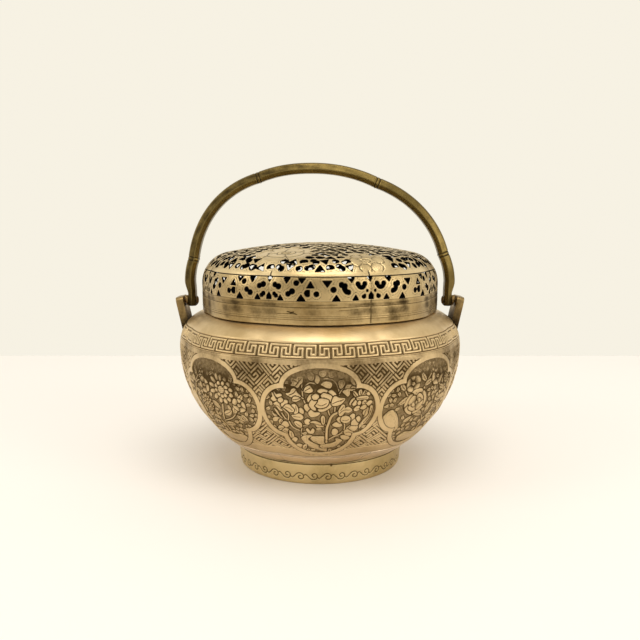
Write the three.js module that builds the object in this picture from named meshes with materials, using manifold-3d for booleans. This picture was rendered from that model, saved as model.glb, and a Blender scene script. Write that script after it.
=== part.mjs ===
// Lobed brass hand warmer with a pierced lid and a bamboo-form swing handle.
// Millimetres, +Z up, origin at the centre of the foot's resting face, front towards -Y.

import * as THREE from 'three';
import { mergeVertices } from 'three/addons/utils/BufferGeometryUtils.js';
import Module from 'manifold-3d';

const wasm = await Module();
wasm.setup();

// Driving dimensions

// Melon form shared by every lobed piece
const LOBE_COUNT = 8;
const STEPS_PER_LOBE = 6;
const LOBE_OFFSET = 0.25;

// Seats and running fits
const SEAM_GAP = 0.3;
const LID_CLEARANCE = 0.5;
const PIVOT_CLEARANCE = 0.3;

// Foot
const FOOT_HEIGHT = 10.4;
const FOOT_SETBACK = 0.8;
const FOOT_TAPER = 1.1;
const FOOT_WALL = 2.2;
const FOOT_EDGE_ROUND = 0.9;

// Band between foot and belly
const BASE_BAND_RADIUS = 42.4;
const BASE_BAND_HEIGHT = 6.2;
const BASE_BAND_WALL = 1.6;
const BASE_FLANGE_THICKNESS = 1.5;
const BASE_FLANGE_WIDTH = 3;

// Body shell
const BELLY_RADIUS = 70;
const BELLY_HEIGHT = 58;
const BODY_WALL = 1.5;
const SHOULDER_TOP = 77.8;
const SHOULDER_REACH = 20;
const SHOULDER_FULLNESS = 2.7;

// Neck that the lid slides over
const NECK_WALL = 1.4;
const NECK_ABOVE_SHOULDER = 9;
const NECK_BELOW_SHOULDER = 7;

// Removable pan for the embers
const PAN_WALL = 1;
const PAN_FLOOR_HEIGHT = 34;
const PAN_FOOT_RADIUS = 44;
const PAN_FLANGE_HEIGHT = 4;
const PAN_RIM_THICKNESS = 0.8;
const PAN_RIM_OVERHANG = 1.1;

// Lid
const SHOULDER_LEFT_BARE = 11.6;
const LID_RISE = 32.2;
const LID_WALL = 1.3;
const LID_EDGE_ROUND = 15;
const LID_CAP_RADIUS = 230;
const LID_SEAM_TURN = THREE.MathUtils.degToRad(63);
const GALLERY_BELOW_EDGE = 3.4;

// Swing handle
const HANDLE_INSET = 5.6;
const HANDLE_RISE = 64.2;
const ARM_ABOVE_PIVOT = 3.8;
const HANDLE_SQUARENESS = 2.2;
const HANDLE_LEAN = -4.9;
const HANDLE_WIDTH = 7.5;
const HANDLE_INNER_DEPTH = 2.3;
const HANDLE_OUTER_DEPTH = 2.9;
const HANDLE_STEPS = 38;
const NODE_SWELL = 0.35;
const NODE_LENGTH = 3;
const NODE_PLACES = [0.175, 0.405, 0.665, 0.83];

// Pivots
const PIVOT_ABOVE_SHOULDER = 3.4;
const ARM_BELOW_PIVOT = 2.6;
const ARM_FLAT_DEPTH = 1.6;
const ARM_FLAT_RADIUS = 4.8;
const ARM_FLAT_SPREAD = 4;
const PIN_RADIUS = 1.2;
const PIN_HEAD_RADIUS = 2.1;
const PIN_HEAD_HEIGHT = 0.9;
const WASHER_RADIUS = 2.5;
const WASHER_SPACE = 1.86;

// Lugs that carry the pivots
const LUG_THICKNESS = 3.6;
const LUG_WIDTH = 12.5;
const LUG_LEAN = THREE.MathUtils.degToRad(12);
const LUG_ABOVE_PIVOT = 1.7;
const LUG_LENGTH = 20;
const LUG_CORNER_ROUND = 2.5;

// Heights and radii that follow from the sizes above

const FOOT_TOP_RADIUS = BASE_BAND_RADIUS - FOOT_SETBACK;
const FOOT_BOTTOM_RADIUS = FOOT_TOP_RADIUS - FOOT_TAPER;
const BAND_BOTTOM = FOOT_HEIGHT + SEAM_GAP;
const BAND_TOP = BAND_BOTTOM + BASE_BAND_HEIGHT;
const FLANGE_TOP = BAND_BOTTOM + BASE_FLANGE_THICKNESS;
const BOWL_FLOOR = FLANGE_TOP + SEAM_GAP;
const BOWL_EDGE = BAND_TOP + SEAM_GAP;
const BELLY_DROP = (BELLY_HEIGHT - BAND_BOTTOM) / Math.sqrt(1 - (BASE_BAND_RADIUS / BELLY_RADIUS) ** 2);

const PIVOT_HEIGHT = SHOULDER_TOP + PIVOT_ABOVE_SHOULDER;
const HANDLE_SPRING_HEIGHT = PIVOT_HEIGHT + ARM_ABOVE_PIVOT;
const HANDLE_TOP = PIVOT_HEIGHT + HANDLE_RISE;
const HANDLE_HALF_SPAN = BELLY_RADIUS - HANDLE_INSET;
const ARM_FACE = HANDLE_HALF_SPAN + HANDLE_OUTER_DEPTH - ARM_FLAT_DEPTH;

const LID_RADIUS = BELLY_RADIUS - SHOULDER_LEFT_BARE;
const LID_INNER_RADIUS = LID_RADIUS - LID_WALL;
const NECK_OUTER_RADIUS = LID_INNER_RADIUS - LID_CLEARANCE;
const NECK_INNER_RADIUS = NECK_OUTER_RADIUS - NECK_WALL;
const MOUTH_RADIUS = NECK_OUTER_RADIUS + SEAM_GAP;
const MOUTH_HEIGHT = shoulderHeight(MOUTH_RADIUS);
const NECK_TOP = MOUTH_HEIGHT + NECK_ABOVE_SHOULDER;
const LID_BOTTOM = shoulderHeight(LID_INNER_RADIUS) + SEAM_GAP;

const LID_APEX_HEIGHT = SHOULDER_TOP + LID_RISE;
const EDGE_CENTRE_RADIUS = LID_RADIUS - LID_EDGE_ROUND;
const EDGE_START_ANGLE = Math.asin(EDGE_CENTRE_RADIUS / (LID_CAP_RADIUS - LID_EDGE_ROUND));
const CAP_DROP = LID_CAP_RADIUS * (1 - Math.cos(EDGE_START_ANGLE));
const EDGE_CENTRE_HEIGHT = LID_APEX_HEIGHT - CAP_DROP - LID_EDGE_ROUND * Math.cos(EDGE_START_ANGLE);
const LID_SEAM_HEIGHT = EDGE_CENTRE_HEIGHT + LID_EDGE_ROUND * Math.cos(LID_SEAM_TURN);
const GALLERY_BOTTOM = EDGE_CENTRE_HEIGHT - GALLERY_BELOW_EDGE;

// Outline of the belly and shoulder at a lobe's middle

function bodyRadius(height) {
  if (height <= BELLY_HEIGHT) {
    return BELLY_RADIUS * Math.sqrt(1 - ((BELLY_HEIGHT - height) / BELLY_DROP) ** 2);
  }
  const rise = (height - BELLY_HEIGHT) / (SHOULDER_TOP - BELLY_HEIGHT);
  return BELLY_RADIUS - SHOULDER_REACH * (1 - Math.sqrt(1 - rise ** SHOULDER_FULLNESS));
}

function shoulderHeight(radius) {
  const reach = 1 - (BELLY_RADIUS - radius) / SHOULDER_REACH;
  return BELLY_HEIGHT + (SHOULDER_TOP - BELLY_HEIGHT) * (1 - reach ** 2) ** (1 / SHOULDER_FULLNESS);
}

// Radius at an angle from a lobe's middle, as a share of the radius at that middle

function lobeShare(angle) {
  const pitch = (2 * Math.PI) / LOBE_COUNT;
  const turned = angle - pitch * Math.round(angle / pitch);
  const inside = (1 - LOBE_OFFSET) ** 2 - (LOBE_OFFSET * Math.sin(turned)) ** 2;
  return LOBE_OFFSET * Math.cos(turned) + Math.sqrt(inside);
}

// Solids and meshes

function toSolid(geometry) {
  geometry.deleteAttribute('normal');
  geometry.deleteAttribute('uv');
  const merged = mergeVertices(geometry, 1e-4);
  const index = Array.from(merged.index.array);
  const triangles = [];
  for (let i = 0; i < index.length; i += 3) {
    const [a, b, c] = index.slice(i, i + 3);
    if (a !== b && b !== c && c !== a) triangles.push(a, b, c);
  }
  return new wasm.Manifold(new wasm.Mesh({
    numProp: 3,
    vertProperties: Float32Array.from(merged.attributes.position.array),
    triVerts: Uint32Array.from(triangles),
  }));
}

function toGeometry(solid) {
  const mesh = solid.getMesh();
  const geometry = new THREE.BufferGeometry();
  geometry.setAttribute('position', new THREE.BufferAttribute(Float32Array.from(mesh.vertProperties), 3));
  geometry.setIndex(new THREE.BufferAttribute(Uint32Array.from(mesh.triVerts), 1));
  return geometry;
}

// A profile of [radius, height] points runs anticlockwise, up its outer side, and is turned about Z.
// A third value of 0 keeps a point round; left out, the point takes the melon form.

function revolve(profile) {
  const outline = profile.map(([radius, height]) => new THREE.Vector2(radius, height));
  const geometry = new THREE.LatheGeometry(outline, LOBE_COUNT * STEPS_PER_LOBE);
  geometry.rotateX(Math.PI / 2);
  const position = geometry.attributes.position;
  for (let i = 0; i < position.count; i += 1) {
    const lobing = profile[i % profile.length][2] ?? 1;
    const angle = Math.atan2(position.getX(i), -position.getY(i));
    const share = 1 + lobing * (lobeShare(angle) - 1);
    position.setX(i, position.getX(i) * share);
    position.setY(i, position.getY(i) * share);
  }
  return toSolid(geometry);
}

function closed(profile) {
  return [...profile, profile[0]];
}

function steps(from, to, count, place) {
  return Array.from({ length: count + 1 }, (_, i) => place(from + ((to - from) * i) / count));
}

// The same outline, moved inwards at right angles by a wall's thickness

function offsetInwards(profile, distance) {
  return profile.map(([radius, height], i) => {
    const before = profile[Math.max(i - 1, 0)];
    const after = profile[Math.min(i + 1, profile.length - 1)];
    const along = new THREE.Vector2(after[0] - before[0], after[1] - before[1]).normalize();
    return [radius - along.y * distance, height + along.x * distance];
  });
}

// Foot: a plain ring that tapers towards the table, with a rounded lower edge

function footRing() {
  const roundCentre = FOOT_BOTTOM_RADIUS - FOOT_EDGE_ROUND;
  const edge = steps(-Math.PI / 2, 0, 3, (a) => [
    roundCentre + FOOT_EDGE_ROUND * Math.cos(a),
    FOOT_EDGE_ROUND * (1 + Math.sin(a)),
    0,
  ]);
  return revolve(closed([
    [FOOT_BOTTOM_RADIUS - FOOT_WALL, 0, 0],
    ...edge,
    [FOOT_TOP_RADIUS, FOOT_HEIGHT, 0],
    [FOOT_TOP_RADIUS - FOOT_WALL, FOOT_HEIGHT, 0],
  ]));
}

// Base band: a lobed strip that carries the bowl on its inner flange

function baseBand() {
  const outer = steps(BAND_BOTTOM, BAND_TOP, 2, (z) => [bodyRadius(z), z]);
  const inner = steps(BAND_TOP, FLANGE_TOP, 1, (z) => [bodyRadius(z) - BASE_BAND_WALL, z]);
  const flangeRadius = BASE_BAND_RADIUS - BASE_FLANGE_WIDTH;
  return revolve(closed([
    [flangeRadius, BAND_BOTTOM],
    ...outer,
    ...inner,
    [flangeRadius, FLANGE_TOP],
  ]));
}

// Bowl: one raised shell from its floor, over the belly and the shoulder, to the mouth

function bellyOutline(lowest) {
  const belly = steps(lowest, BELLY_HEIGHT, 5, (z) => [bodyRadius(z), z]);
  const crown = steps(0, 1, 6, (t) => {
    const radius = MOUTH_RADIUS + (BELLY_RADIUS - MOUTH_RADIUS) * Math.cos((t * Math.PI) / 2);
    return [radius, t === 0 ? BELLY_HEIGHT : shoulderHeight(radius)];
  });
  return [...belly, ...crown.slice(1)];
}

function bodyBowl() {
  const seatInset = BASE_BAND_WALL + SEAM_GAP;
  const underside = steps(BOWL_FLOOR, BOWL_EDGE, 2, (z) => [bodyRadius(z) - seatInset, z]);
  const outer = bellyOutline(BOWL_EDGE);
  const everyOther = (point, i) => i % 2 === 1;
  const inside = offsetInwards(outer, BODY_WALL).slice(0, -1).filter(everyOther).reverse();
  const floorRadius = bodyRadius(BOWL_FLOOR) - seatInset - BODY_WALL;
  return revolve([
    [0, BOWL_FLOOR],
    ...underside,
    ...outer,
    [MOUTH_RADIUS, MOUTH_HEIGHT - BODY_WALL],
    ...inside,
    [floorRadius, BOWL_FLOOR + BODY_WALL],
    [0, BOWL_FLOOR + BODY_WALL],
  ]);
}

// Neck: an upright lobed strip that stands in the mouth

function neckCollar() {
  return revolve(closed([
    [NECK_INNER_RADIUS, MOUTH_HEIGHT - NECK_BELOW_SHOULDER],
    [NECK_OUTER_RADIUS, MOUTH_HEIGHT - NECK_BELOW_SHOULDER],
    [NECK_OUTER_RADIUS, NECK_TOP],
    [NECK_INNER_RADIUS, NECK_TOP],
  ]));
}

// Ember pan: a wall, lobed at its rim and round at its foot, that hangs on the neck

const PAN_CURVE_TOP = MOUTH_HEIGHT - NECK_BELOW_SHOULDER;
const PAN_TOP_RADIUS = NECK_INNER_RADIUS - SEAM_GAP;

function panWall(height, inset) {
  const share = (height - PAN_FLOOR_HEIGHT) / (PAN_CURVE_TOP - PAN_FLOOR_HEIGHT);
  const radius = PAN_FOOT_RADIUS + (PAN_TOP_RADIUS - PAN_FOOT_RADIUS) * Math.sin((share * Math.PI) / 2);
  return [radius - inset, height, share];
}

function emberPan() {
  const rimUnder = NECK_TOP + SEAM_GAP;
  const rimTop = rimUnder + PAN_RIM_THICKNESS;
  const wall = (inset) => steps(PAN_FLOOR_HEIGHT, PAN_CURVE_TOP, 4, (z) => panWall(z, inset));
  return revolve(closed([
    ...wall(0),
    [PAN_TOP_RADIUS, rimUnder],
    [PAN_TOP_RADIUS + PAN_RIM_OVERHANG, rimUnder],
    [PAN_TOP_RADIUS + PAN_RIM_OVERHANG, rimTop],
    [PAN_TOP_RADIUS - PAN_WALL, rimTop],
    ...wall(PAN_WALL).reverse(),
  ]));
}

// Pan floor: a dish whose upturned flange fits inside the foot of the pan's wall

function panFloor() {
  const seat = PAN_WALL + SEAM_GAP;
  const flangeTop = PAN_FLOOR_HEIGHT + PAN_FLANGE_HEIGHT;
  const floorTop = PAN_FLOOR_HEIGHT + PAN_WALL;
  return revolve([
    [0, PAN_FLOOR_HEIGHT, 0],
    panWall(PAN_FLOOR_HEIGHT, seat),
    panWall(flangeTop, seat),
    panWall(flangeTop, seat + PAN_WALL),
    panWall(floorTop, seat + PAN_WALL),
    [0, floorTop, 0],
  ]);
}

// Lid outline: an upright side, a rounded edge and a shallow cap

function lidEdge(angle, inset) {
  const round = LID_EDGE_ROUND - inset;
  return [EDGE_CENTRE_RADIUS + round * Math.sin(angle), EDGE_CENTRE_HEIGHT + round * Math.cos(angle)];
}

function lidCap(angle, inset) {
  const cap = LID_CAP_RADIUS - inset;
  return [cap * Math.sin(angle), LID_APEX_HEIGHT - LID_CAP_RADIUS + cap * Math.cos(angle)];
}

// Openwork of one gallery lobe. Places are across from the lobe's middle and up from the gallery's
// lower line; turns are in degrees.

const GALLERY_HOLES = [
  { form: 'wedge', across: -13.6, up: 8.6, width: 3, height: 2.4, turn: 180 },
  { form: 'wedge', across: -7, up: 8.4, width: 4, height: 2.8, turn: 190 },
  { form: 'wedge', across: -2.2, up: 6.9, width: 2.8, height: 2.8, turn: -12 },
  { form: 'wedge', across: 3.2, up: 7.2, width: 3.5, height: 2.8, turn: 185 },
  { form: 'wedge', across: 13.8, up: 8.8, width: 3.1, height: 2.3, turn: 180 },
  { form: 'bean', across: 9.2, up: 5.4, width: 4.9, height: 2.5, turn: 70 },
  { form: 'bean', across: -16.6, up: 5.4, width: 4.2, height: 2.5, turn: -15 },
  { form: 'bean', across: -10.4, up: 4.4, width: 4.6, height: 2.4, turn: 35 },
  { form: 'wedge', across: -8.2, up: 1.5, width: 3.4, height: 2.6, turn: 0 },
  { form: 'wedge', across: 4.4, up: 2.2, width: 3.4, height: 2.8, turn: 0 },
  { form: 'bean', across: 16.7, up: 5.4, width: 4.6, height: 2.6, turn: 5 },
  { form: 'wedge', across: 13.6, up: 1.6, width: 3.2, height: 2.6, turn: 0 },
];

const HOLE_FORMS = {
  wedge: [[-0.5, -0.5], [0.5, -0.5], [0, 0.5]],
  bean: [[-0.5, -0.2], [0, -0.4], [0.5, -0.1], [0.25, 0.5], [-0.3, 0.4]],
};

function holeCutter(hole, length, mirror) {
  const corners = HOLE_FORMS[hole.form];
  const points = corners.map(([x, y]) => new THREE.Vector2(mirror * x * hole.width, y * hole.height));
  const cutter = new THREE.ExtrudeGeometry(new THREE.Shape(points), { depth: length, bevelEnabled: false });
  cutter.rotateZ(mirror * THREE.MathUtils.degToRad(hole.turn));
  return cutter;
}

// Lid band: plain rim below, pierced gallery above, turned in to meet the crown

function lidBand() {
  const edge = (inset) => steps(Math.PI / 2, LID_SEAM_TURN, 2, (a) => lidEdge(a, inset));
  const band = revolve(closed([
    [LID_INNER_RADIUS, LID_BOTTOM],
    [LID_RADIUS, LID_BOTTOM],
    [LID_RADIUS, GALLERY_BOTTOM],
    ...edge(0),
    ...edge(LID_WALL).reverse(),
    [LID_INNER_RADIUS, GALLERY_BOTTOM],
  ]));
  const lobeRadius = LID_RADIUS * (1 - LOBE_OFFSET);
  const cutters = [];
  for (let lobe = 0; lobe < LOBE_COUNT; lobe += 1) {
    const mirror = lobe % 2 === 0 ? 1 : -1;
    for (const hole of GALLERY_HOLES) {
      const cutter = holeCutter(hole, 4 * LID_WALL, mirror);
      cutter.translate(0, 0, lobeRadius - 3 * LID_WALL);
      cutter.rotateX(Math.PI / 2);
      cutter.translate(0, 0, GALLERY_BOTTOM + hole.up);
      cutter.rotateZ((mirror * hole.across) / lobeRadius);
      cutter.translate(0, -LID_RADIUS * LOBE_OFFSET, 0);
      cutter.rotateZ((lobe * 2 * Math.PI) / LOBE_COUNT);
      cutters.push(toSolid(cutter));
    }
  }
  return wasm.Manifold.difference([band, ...cutters]);
}

// Crown openwork: rings of wedges and beans between the blossoms, cut straight down. Rings and
// blossoms lie at a share of the lid's radius; hole and blossom sizes are the saw's and the chaser's.

const CROWN_RINGS = [
  { share: 0.884, count: 24, width: 4.6, height: 3, form: 'wedge' },
  { share: 0.788, count: 24, width: 6.4, height: 3.2, form: 'bean' },
  { share: 0.664, count: 16, width: 5.4, height: 4.2, form: 'wedge' },
  { share: 0.524, count: 16, width: 7, height: 3.6, form: 'bean' },
  { share: 0.37, count: 8, width: 5.4, height: 4.4, form: 'wedge' },
];

// Blossoms left solid on the crown, with their angles from the front in degrees
const BLOSSOMS = [
  { share: 0.66, angle: -22, size: 12.5 },
  { share: 0.83, angle: 25, size: 8.5 },
  { share: 0.66, angle: 158, size: 12.5 },
  { share: 0.83, angle: 205, size: 8.5 },
];

function lidCrown() {
  const seamGapAngle = SEAM_GAP / LID_EDGE_ROUND;
  const edge = (inset) => steps(LID_SEAM_TURN - seamGapAngle, EDGE_START_ANGLE, 3, (a) => lidEdge(a, inset));
  const cap = (inset) => steps(EDGE_START_ANGLE, 0, 2, (a) => lidCap(a, inset)).slice(1);
  const outside = [...edge(0), ...cap(0)];
  const inside = [...edge(LID_WALL), ...cap(LID_WALL)].reverse();
  const crown = revolve([...inside, ...outside]);
  const cutters = [];
  for (const ring of CROWN_RINGS) {
    for (let i = 0; i < ring.count; i += 1) {
      const angle = ((i + 0.5) / ring.count) * 2 * Math.PI;
      const radius = ring.share * LID_RADIUS * lobeShare(angle);
      const place = new THREE.Vector2(radius * Math.sin(angle), -radius * Math.cos(angle));
      const solidHere = BLOSSOMS.some((blossom) => {
        const turned = THREE.MathUtils.degToRad(blossom.angle);
        const middle = new THREE.Vector2(Math.sin(turned), -Math.cos(turned));
        middle.multiplyScalar(blossom.share * LID_RADIUS);
        return middle.distanceTo(place) < blossom.size + ring.width / 2;
      });
      if (!solidHere) {
        const mirror = i % 2 === 0 ? 1 : -1;
        const cutter = holeCutter({ ...ring, turn: 12 }, LID_APEX_HEIGHT - LID_BOTTOM, mirror);
        cutter.rotateZ(angle);
        cutter.translate(place.x, place.y, LID_SEAM_HEIGHT - LID_EDGE_ROUND / 2);
        cutters.push(toSolid(cutter));
      }
    }
  }
  return wasm.Manifold.difference([crown, ...cutters]);
}

// Handle: a bread-loaf section swept up one leg, over the arch and down the other

class BailArch extends THREE.Curve {
  getPoint(t, target = new THREE.Vector3()) {
    const turn = Math.PI * t;
    const power = 2 / HANDLE_SQUARENESS;
    const across = -Math.sign(Math.cos(turn)) * Math.abs(Math.cos(turn)) ** power;
    const rise = Math.max(Math.sin(turn), 0) ** power;
    return target.set(
      HANDLE_HALF_SPAN * across + HANDLE_LEAN * rise ** 2,
      0,
      HANDLE_SPRING_HEIGHT + (HANDLE_TOP - HANDLE_SPRING_HEIGHT) * rise,
    );
  }
}

function bailPath() {
  const legBottom = PIVOT_HEIGHT - ARM_BELOW_PIVOT;
  const path = new THREE.CurvePath();
  const leg = (side, z) => new THREE.Vector3(side * HANDLE_HALF_SPAN, 0, z);
  path.add(new THREE.LineCurve3(leg(-1, legBottom), leg(-1, HANDLE_SPRING_HEIGHT)));
  path.add(new BailArch());
  path.add(new THREE.LineCurve3(leg(1, HANDLE_SPRING_HEIGHT), leg(1, legBottom)));
  return path;
}

function bailSection(grow) {
  const half = HANDLE_WIDTH / 2 + grow;
  const inner = HANDLE_INNER_DEPTH + grow;
  const outer = HANDLE_OUTER_DEPTH + grow;
  const shape = new THREE.Shape();
  shape.moveTo(-0.7 * half, inner);
  shape.lineTo(-half, 0.25 * inner);
  shape.absellipse(0, 0.25 * inner, half, outer + 0.25 * inner, Math.PI, 2 * Math.PI, false);
  shape.lineTo(0.7 * half, inner);
  return shape;
}

class PathStretch extends THREE.Curve {
  constructor(path, from, to) {
    super();
    this.path = path;
    this.from = from;
    this.to = to;
  }

  getPoint(t, target = new THREE.Vector3()) {
    return target.copy(this.path.getPointAt(this.from + (this.to - this.from) * t));
  }
}

function sweep(section, path, count) {
  const settings = { steps: count, extrudePath: path, bevelEnabled: false, curveSegments: 3 };
  return toSolid(new THREE.ExtrudeGeometry(section, settings));
}

// Round cutters and discs on the pivots' own line, from one X to another

function onPivotLine(from, to, segments, fromRadius, toRadius = fromRadius) {
  const cone = new THREE.CylinderGeometry(fromRadius, toRadius, Math.abs(to - from), segments);
  cone.rotateZ(from < to ? Math.PI / 2 : -Math.PI / 2);
  cone.translate((from + to) / 2, 0, PIVOT_HEIGHT);
  return toSolid(cone);
}

function bailHandle() {
  const path = bailPath();
  const halfNode = NODE_LENGTH / 2 / path.getLength();
  const nodes = NODE_PLACES.map((place) => {
    return sweep(bailSection(NODE_SWELL), new PathStretch(path, place - halfNode, place + halfNode), 2);
  });
  const bar = wasm.Manifold.union([sweep(bailSection(0), path, HANDLE_STEPS), ...nodes]);
  const outside = HANDLE_HALF_SPAN + 2 * HANDLE_OUTER_DEPTH;
  const spread = ((outside - ARM_FACE) / ARM_FLAT_DEPTH) * ARM_FLAT_SPREAD;
  const cuts = [onPivotLine(-outside, outside, 12, PIN_RADIUS + PIVOT_CLEARANCE)];
  for (const side of [-1, 1]) {
    cuts.push(onPivotLine(side * ARM_FACE, side * outside, 24, ARM_FLAT_RADIUS, ARM_FLAT_RADIUS + spread));
  }
  return wasm.Manifold.difference([bar, ...cuts]);
}

// Lug: a flat ear, leaning outwards, whose foot follows the shoulder

function lugInnerX(height) {
  return ARM_FACE + WASHER_SPACE + (height - PIVOT_HEIGHT) * Math.tan(LUG_LEAN);
}

function lugOuterX(height) {
  return lugInnerX(height) + LUG_THICKNESS / Math.cos(LUG_LEAN);
}

function lugPlate(side) {
  const half = LUG_WIDTH / 2;
  const shape = new THREE.Shape();
  shape.moveTo(-half, -LUG_LENGTH);
  shape.lineTo(half, -LUG_LENGTH);
  shape.lineTo(half, -LUG_CORNER_ROUND);
  shape.absarc(half - LUG_CORNER_ROUND, -LUG_CORNER_ROUND, LUG_CORNER_ROUND, 0, Math.PI / 2, false);
  shape.lineTo(-half + LUG_CORNER_ROUND, 0);
  shape.absarc(LUG_CORNER_ROUND - half, -LUG_CORNER_ROUND, LUG_CORNER_ROUND, Math.PI / 2, Math.PI, false);
  const settings = { depth: LUG_THICKNESS, bevelEnabled: false, curveSegments: 4 };
  const plate = new THREE.ExtrudeGeometry(shape, settings);
  plate.rotateX(Math.PI / 2);
  plate.rotateZ(Math.PI / 2);
  plate.translate(-LUG_THICKNESS, 0, 0);
  plate.rotateY(LUG_LEAN);
  const topHeight = PIVOT_HEIGHT + LUG_ABOVE_PIVOT;
  plate.translate(lugOuterX(topHeight), 0, topHeight);
  if (side < 0) plate.rotateZ(Math.PI);
  return toSolid(plate);
}

function shoulderSeat(gap) {
  const outline = offsetInwards(bellyOutline(BOWL_EDGE), -gap);
  return revolve([[0, outline[0][1]], ...outline, [0, outline.at(-1)[1]]]);
}

function lug(side, seat) {
  const outside = side * (lugOuterX(PIVOT_HEIGHT) + LUG_THICKNESS);
  const bore = onPivotLine(side * ARM_FACE, outside, 12, PIN_RADIUS + PIVOT_CLEARANCE);
  return lugPlate(side).subtract(seat).subtract(bore);
}

// Pivot pin: domed head inside the arm, shank through arm and lug, filed flush outside

function pivotPin(side) {
  const headFace = HANDLE_HALF_SPAN - HANDLE_INNER_DEPTH - PIVOT_CLEARANCE;
  const flushEnd = lugOuterX(PIVOT_HEIGHT - PIN_RADIUS);
  const dome = steps(Math.PI / 2, 0, 3, (a) => new THREE.Vector2(
    PIN_HEAD_RADIUS * Math.cos(a),
    -PIN_HEAD_HEIGHT * Math.sin(a),
  ));
  const outline = [
    ...dome,
    new THREE.Vector2(PIN_RADIUS, 0),
    new THREE.Vector2(PIN_RADIUS, flushEnd - headFace),
    new THREE.Vector2(0, flushEnd - headFace),
  ];
  const pin = new THREE.LatheGeometry(outline, 12);
  pin.rotateZ(-Math.PI / 2);
  pin.translate(headFace, 0, PIVOT_HEIGHT);
  if (side < 0) pin.rotateZ(Math.PI);
  return toSolid(pin);
}

// Washer: fills the space between arm and lug, dressed to the lug's lean

function pivotWasher(side) {
  const outside = side * lugInnerX(PIVOT_HEIGHT + WASHER_RADIUS);
  const disc = onPivotLine(side * (ARM_FACE + SEAM_GAP), outside, 16, WASHER_RADIUS);
  const bore = onPivotLine(side * HANDLE_HALF_SPAN, 2 * outside, 12, PIN_RADIUS + PIVOT_CLEARANCE);
  const clearOfLug = lugPlate(side).translate(-side * SEAM_GAP, 0, 0);
  return disc.subtract(bore).subtract(clearOfLug);
}

// Finishes

const BRASS = { color: 0xb0925c, roughness: 0.34, metalness: 1 };
const WORN_BRASS = { color: 0xc2a368, roughness: 0.3, metalness: 1 };
const BROWN_BRASS = { color: 0x6e5530, roughness: 0.5, metalness: 1 };
const DARK_BRASS = { color: 0x4a3a20, roughness: 0.6, metalness: 0.9 };
const COPPER = { color: 0x7a4a30, roughness: 0.6, metalness: 0.9 };

const warmer = new THREE.Group();

function addPiece(name, solid, finish) {
  const mesh = new THREE.Mesh(toGeometry(solid), new THREE.MeshStandardMaterial(finish));
  mesh.name = name;
  warmer.add(mesh);
}

const seat = shoulderSeat(SEAM_GAP);

addPiece('foot_ring', footRing(), BRASS);
addPiece('base_band', baseBand(), BRASS);
addPiece('body_bowl', bodyBowl(), BRASS);
addPiece('neck_collar', neckCollar(), BROWN_BRASS);
addPiece('ember_pan', emberPan(), COPPER);
addPiece('pan_floor', panFloor(), COPPER);
addPiece('lid_band', lidBand(), WORN_BRASS);
addPiece('lid_crown', lidCrown(), WORN_BRASS);
addPiece('bail_handle', bailHandle(), BROWN_BRASS);
for (const [name, side] of [['left', -1], ['right', 1]]) {
  addPiece(`lug_${name}`, lug(side, seat), BROWN_BRASS);
  addPiece(`pivot_pin_${name}`, pivotPin(side), DARK_BRASS);
  addPiece(`pivot_washer_${name}`, pivotWasher(side), DARK_BRASS);
}

export default warmer;
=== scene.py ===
# Brass hand warmer: a lobed, chased bowl on a round foot, with a pierced lid and a swing handle.
# Metres, +Z up, resting on Z = 0, front towards -Y. The pieces are shaped in millimetres.

import math

import bmesh
import bpy
import numpy as np
from mathutils import Matrix, Vector


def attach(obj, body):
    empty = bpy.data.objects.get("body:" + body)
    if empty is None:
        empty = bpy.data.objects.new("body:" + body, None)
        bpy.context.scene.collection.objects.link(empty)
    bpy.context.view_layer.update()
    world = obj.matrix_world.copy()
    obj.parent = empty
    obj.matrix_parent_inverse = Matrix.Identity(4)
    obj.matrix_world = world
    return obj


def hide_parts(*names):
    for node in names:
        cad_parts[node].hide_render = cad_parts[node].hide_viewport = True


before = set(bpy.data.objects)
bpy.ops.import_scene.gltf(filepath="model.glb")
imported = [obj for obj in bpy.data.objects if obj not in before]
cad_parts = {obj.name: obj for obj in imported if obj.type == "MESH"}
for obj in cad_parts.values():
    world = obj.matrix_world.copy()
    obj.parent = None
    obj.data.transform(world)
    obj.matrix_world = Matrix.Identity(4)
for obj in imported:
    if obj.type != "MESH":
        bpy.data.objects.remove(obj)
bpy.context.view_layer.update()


# Foot ring. One turned brass ring, tapering a little towards the table, with a hand-engraved
# running scroll. The base band above is soldered to its flat top.

FOOT_HEIGHT = 10.4
FOOT_TOP_RADIUS = 41.6
FOOT_BOTTOM_RADIUS = 40.5
FOOT_WALL = 2.2
FOOT_ROUND = 0.9
FOOT_CHAMFER = 0.3
FOOT_LINE_DROP = 0.45
FOOT_LINE_DEPTH = 0.1
FOOT_BLOT = (5.2, 10)
SCROLL_WAVES = 20
STEPS_PER_WAVE = 44
SCROLL_HEIGHT = 3.9
SCROLL_DEPTH = 0.2
SCROLL_MARKS = (
    (-4.4, -0.2), (-3.5, -0.9), (-2.2, 0.1), (-0.9, 1.3), (0.7, 1.5), (1.8, 0.6), (1.8, -0.8), (0.7, -1.5),
    (-0.4, -0.9), (-0.2, 0.1), (0.6, 0.2),
)
FAR_AWAY = 1e3
WELD = 0.001

BROWN_PATINA = (0.10, 0.062, 0.022)
PATINA_SHADE_SHOWS = 0.12
PATINA_SHADE_FULL = 0.85
BUMP_DISTANCE = 0.0004


def add_node(tree, kind, inputs=(), **settings):
    """A node with its settings. An input takes a value, or the socket that feeds it."""
    node = tree.nodes.new(kind)
    for name, value in settings.items():
        setattr(node, name, value)
    for name, value in dict(inputs).items():
        if isinstance(value, bpy.types.NodeSocket):
            tree.links.new(value, node.inputs[name])
        else:
            node.inputs[name].default_value = value
    return node


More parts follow.
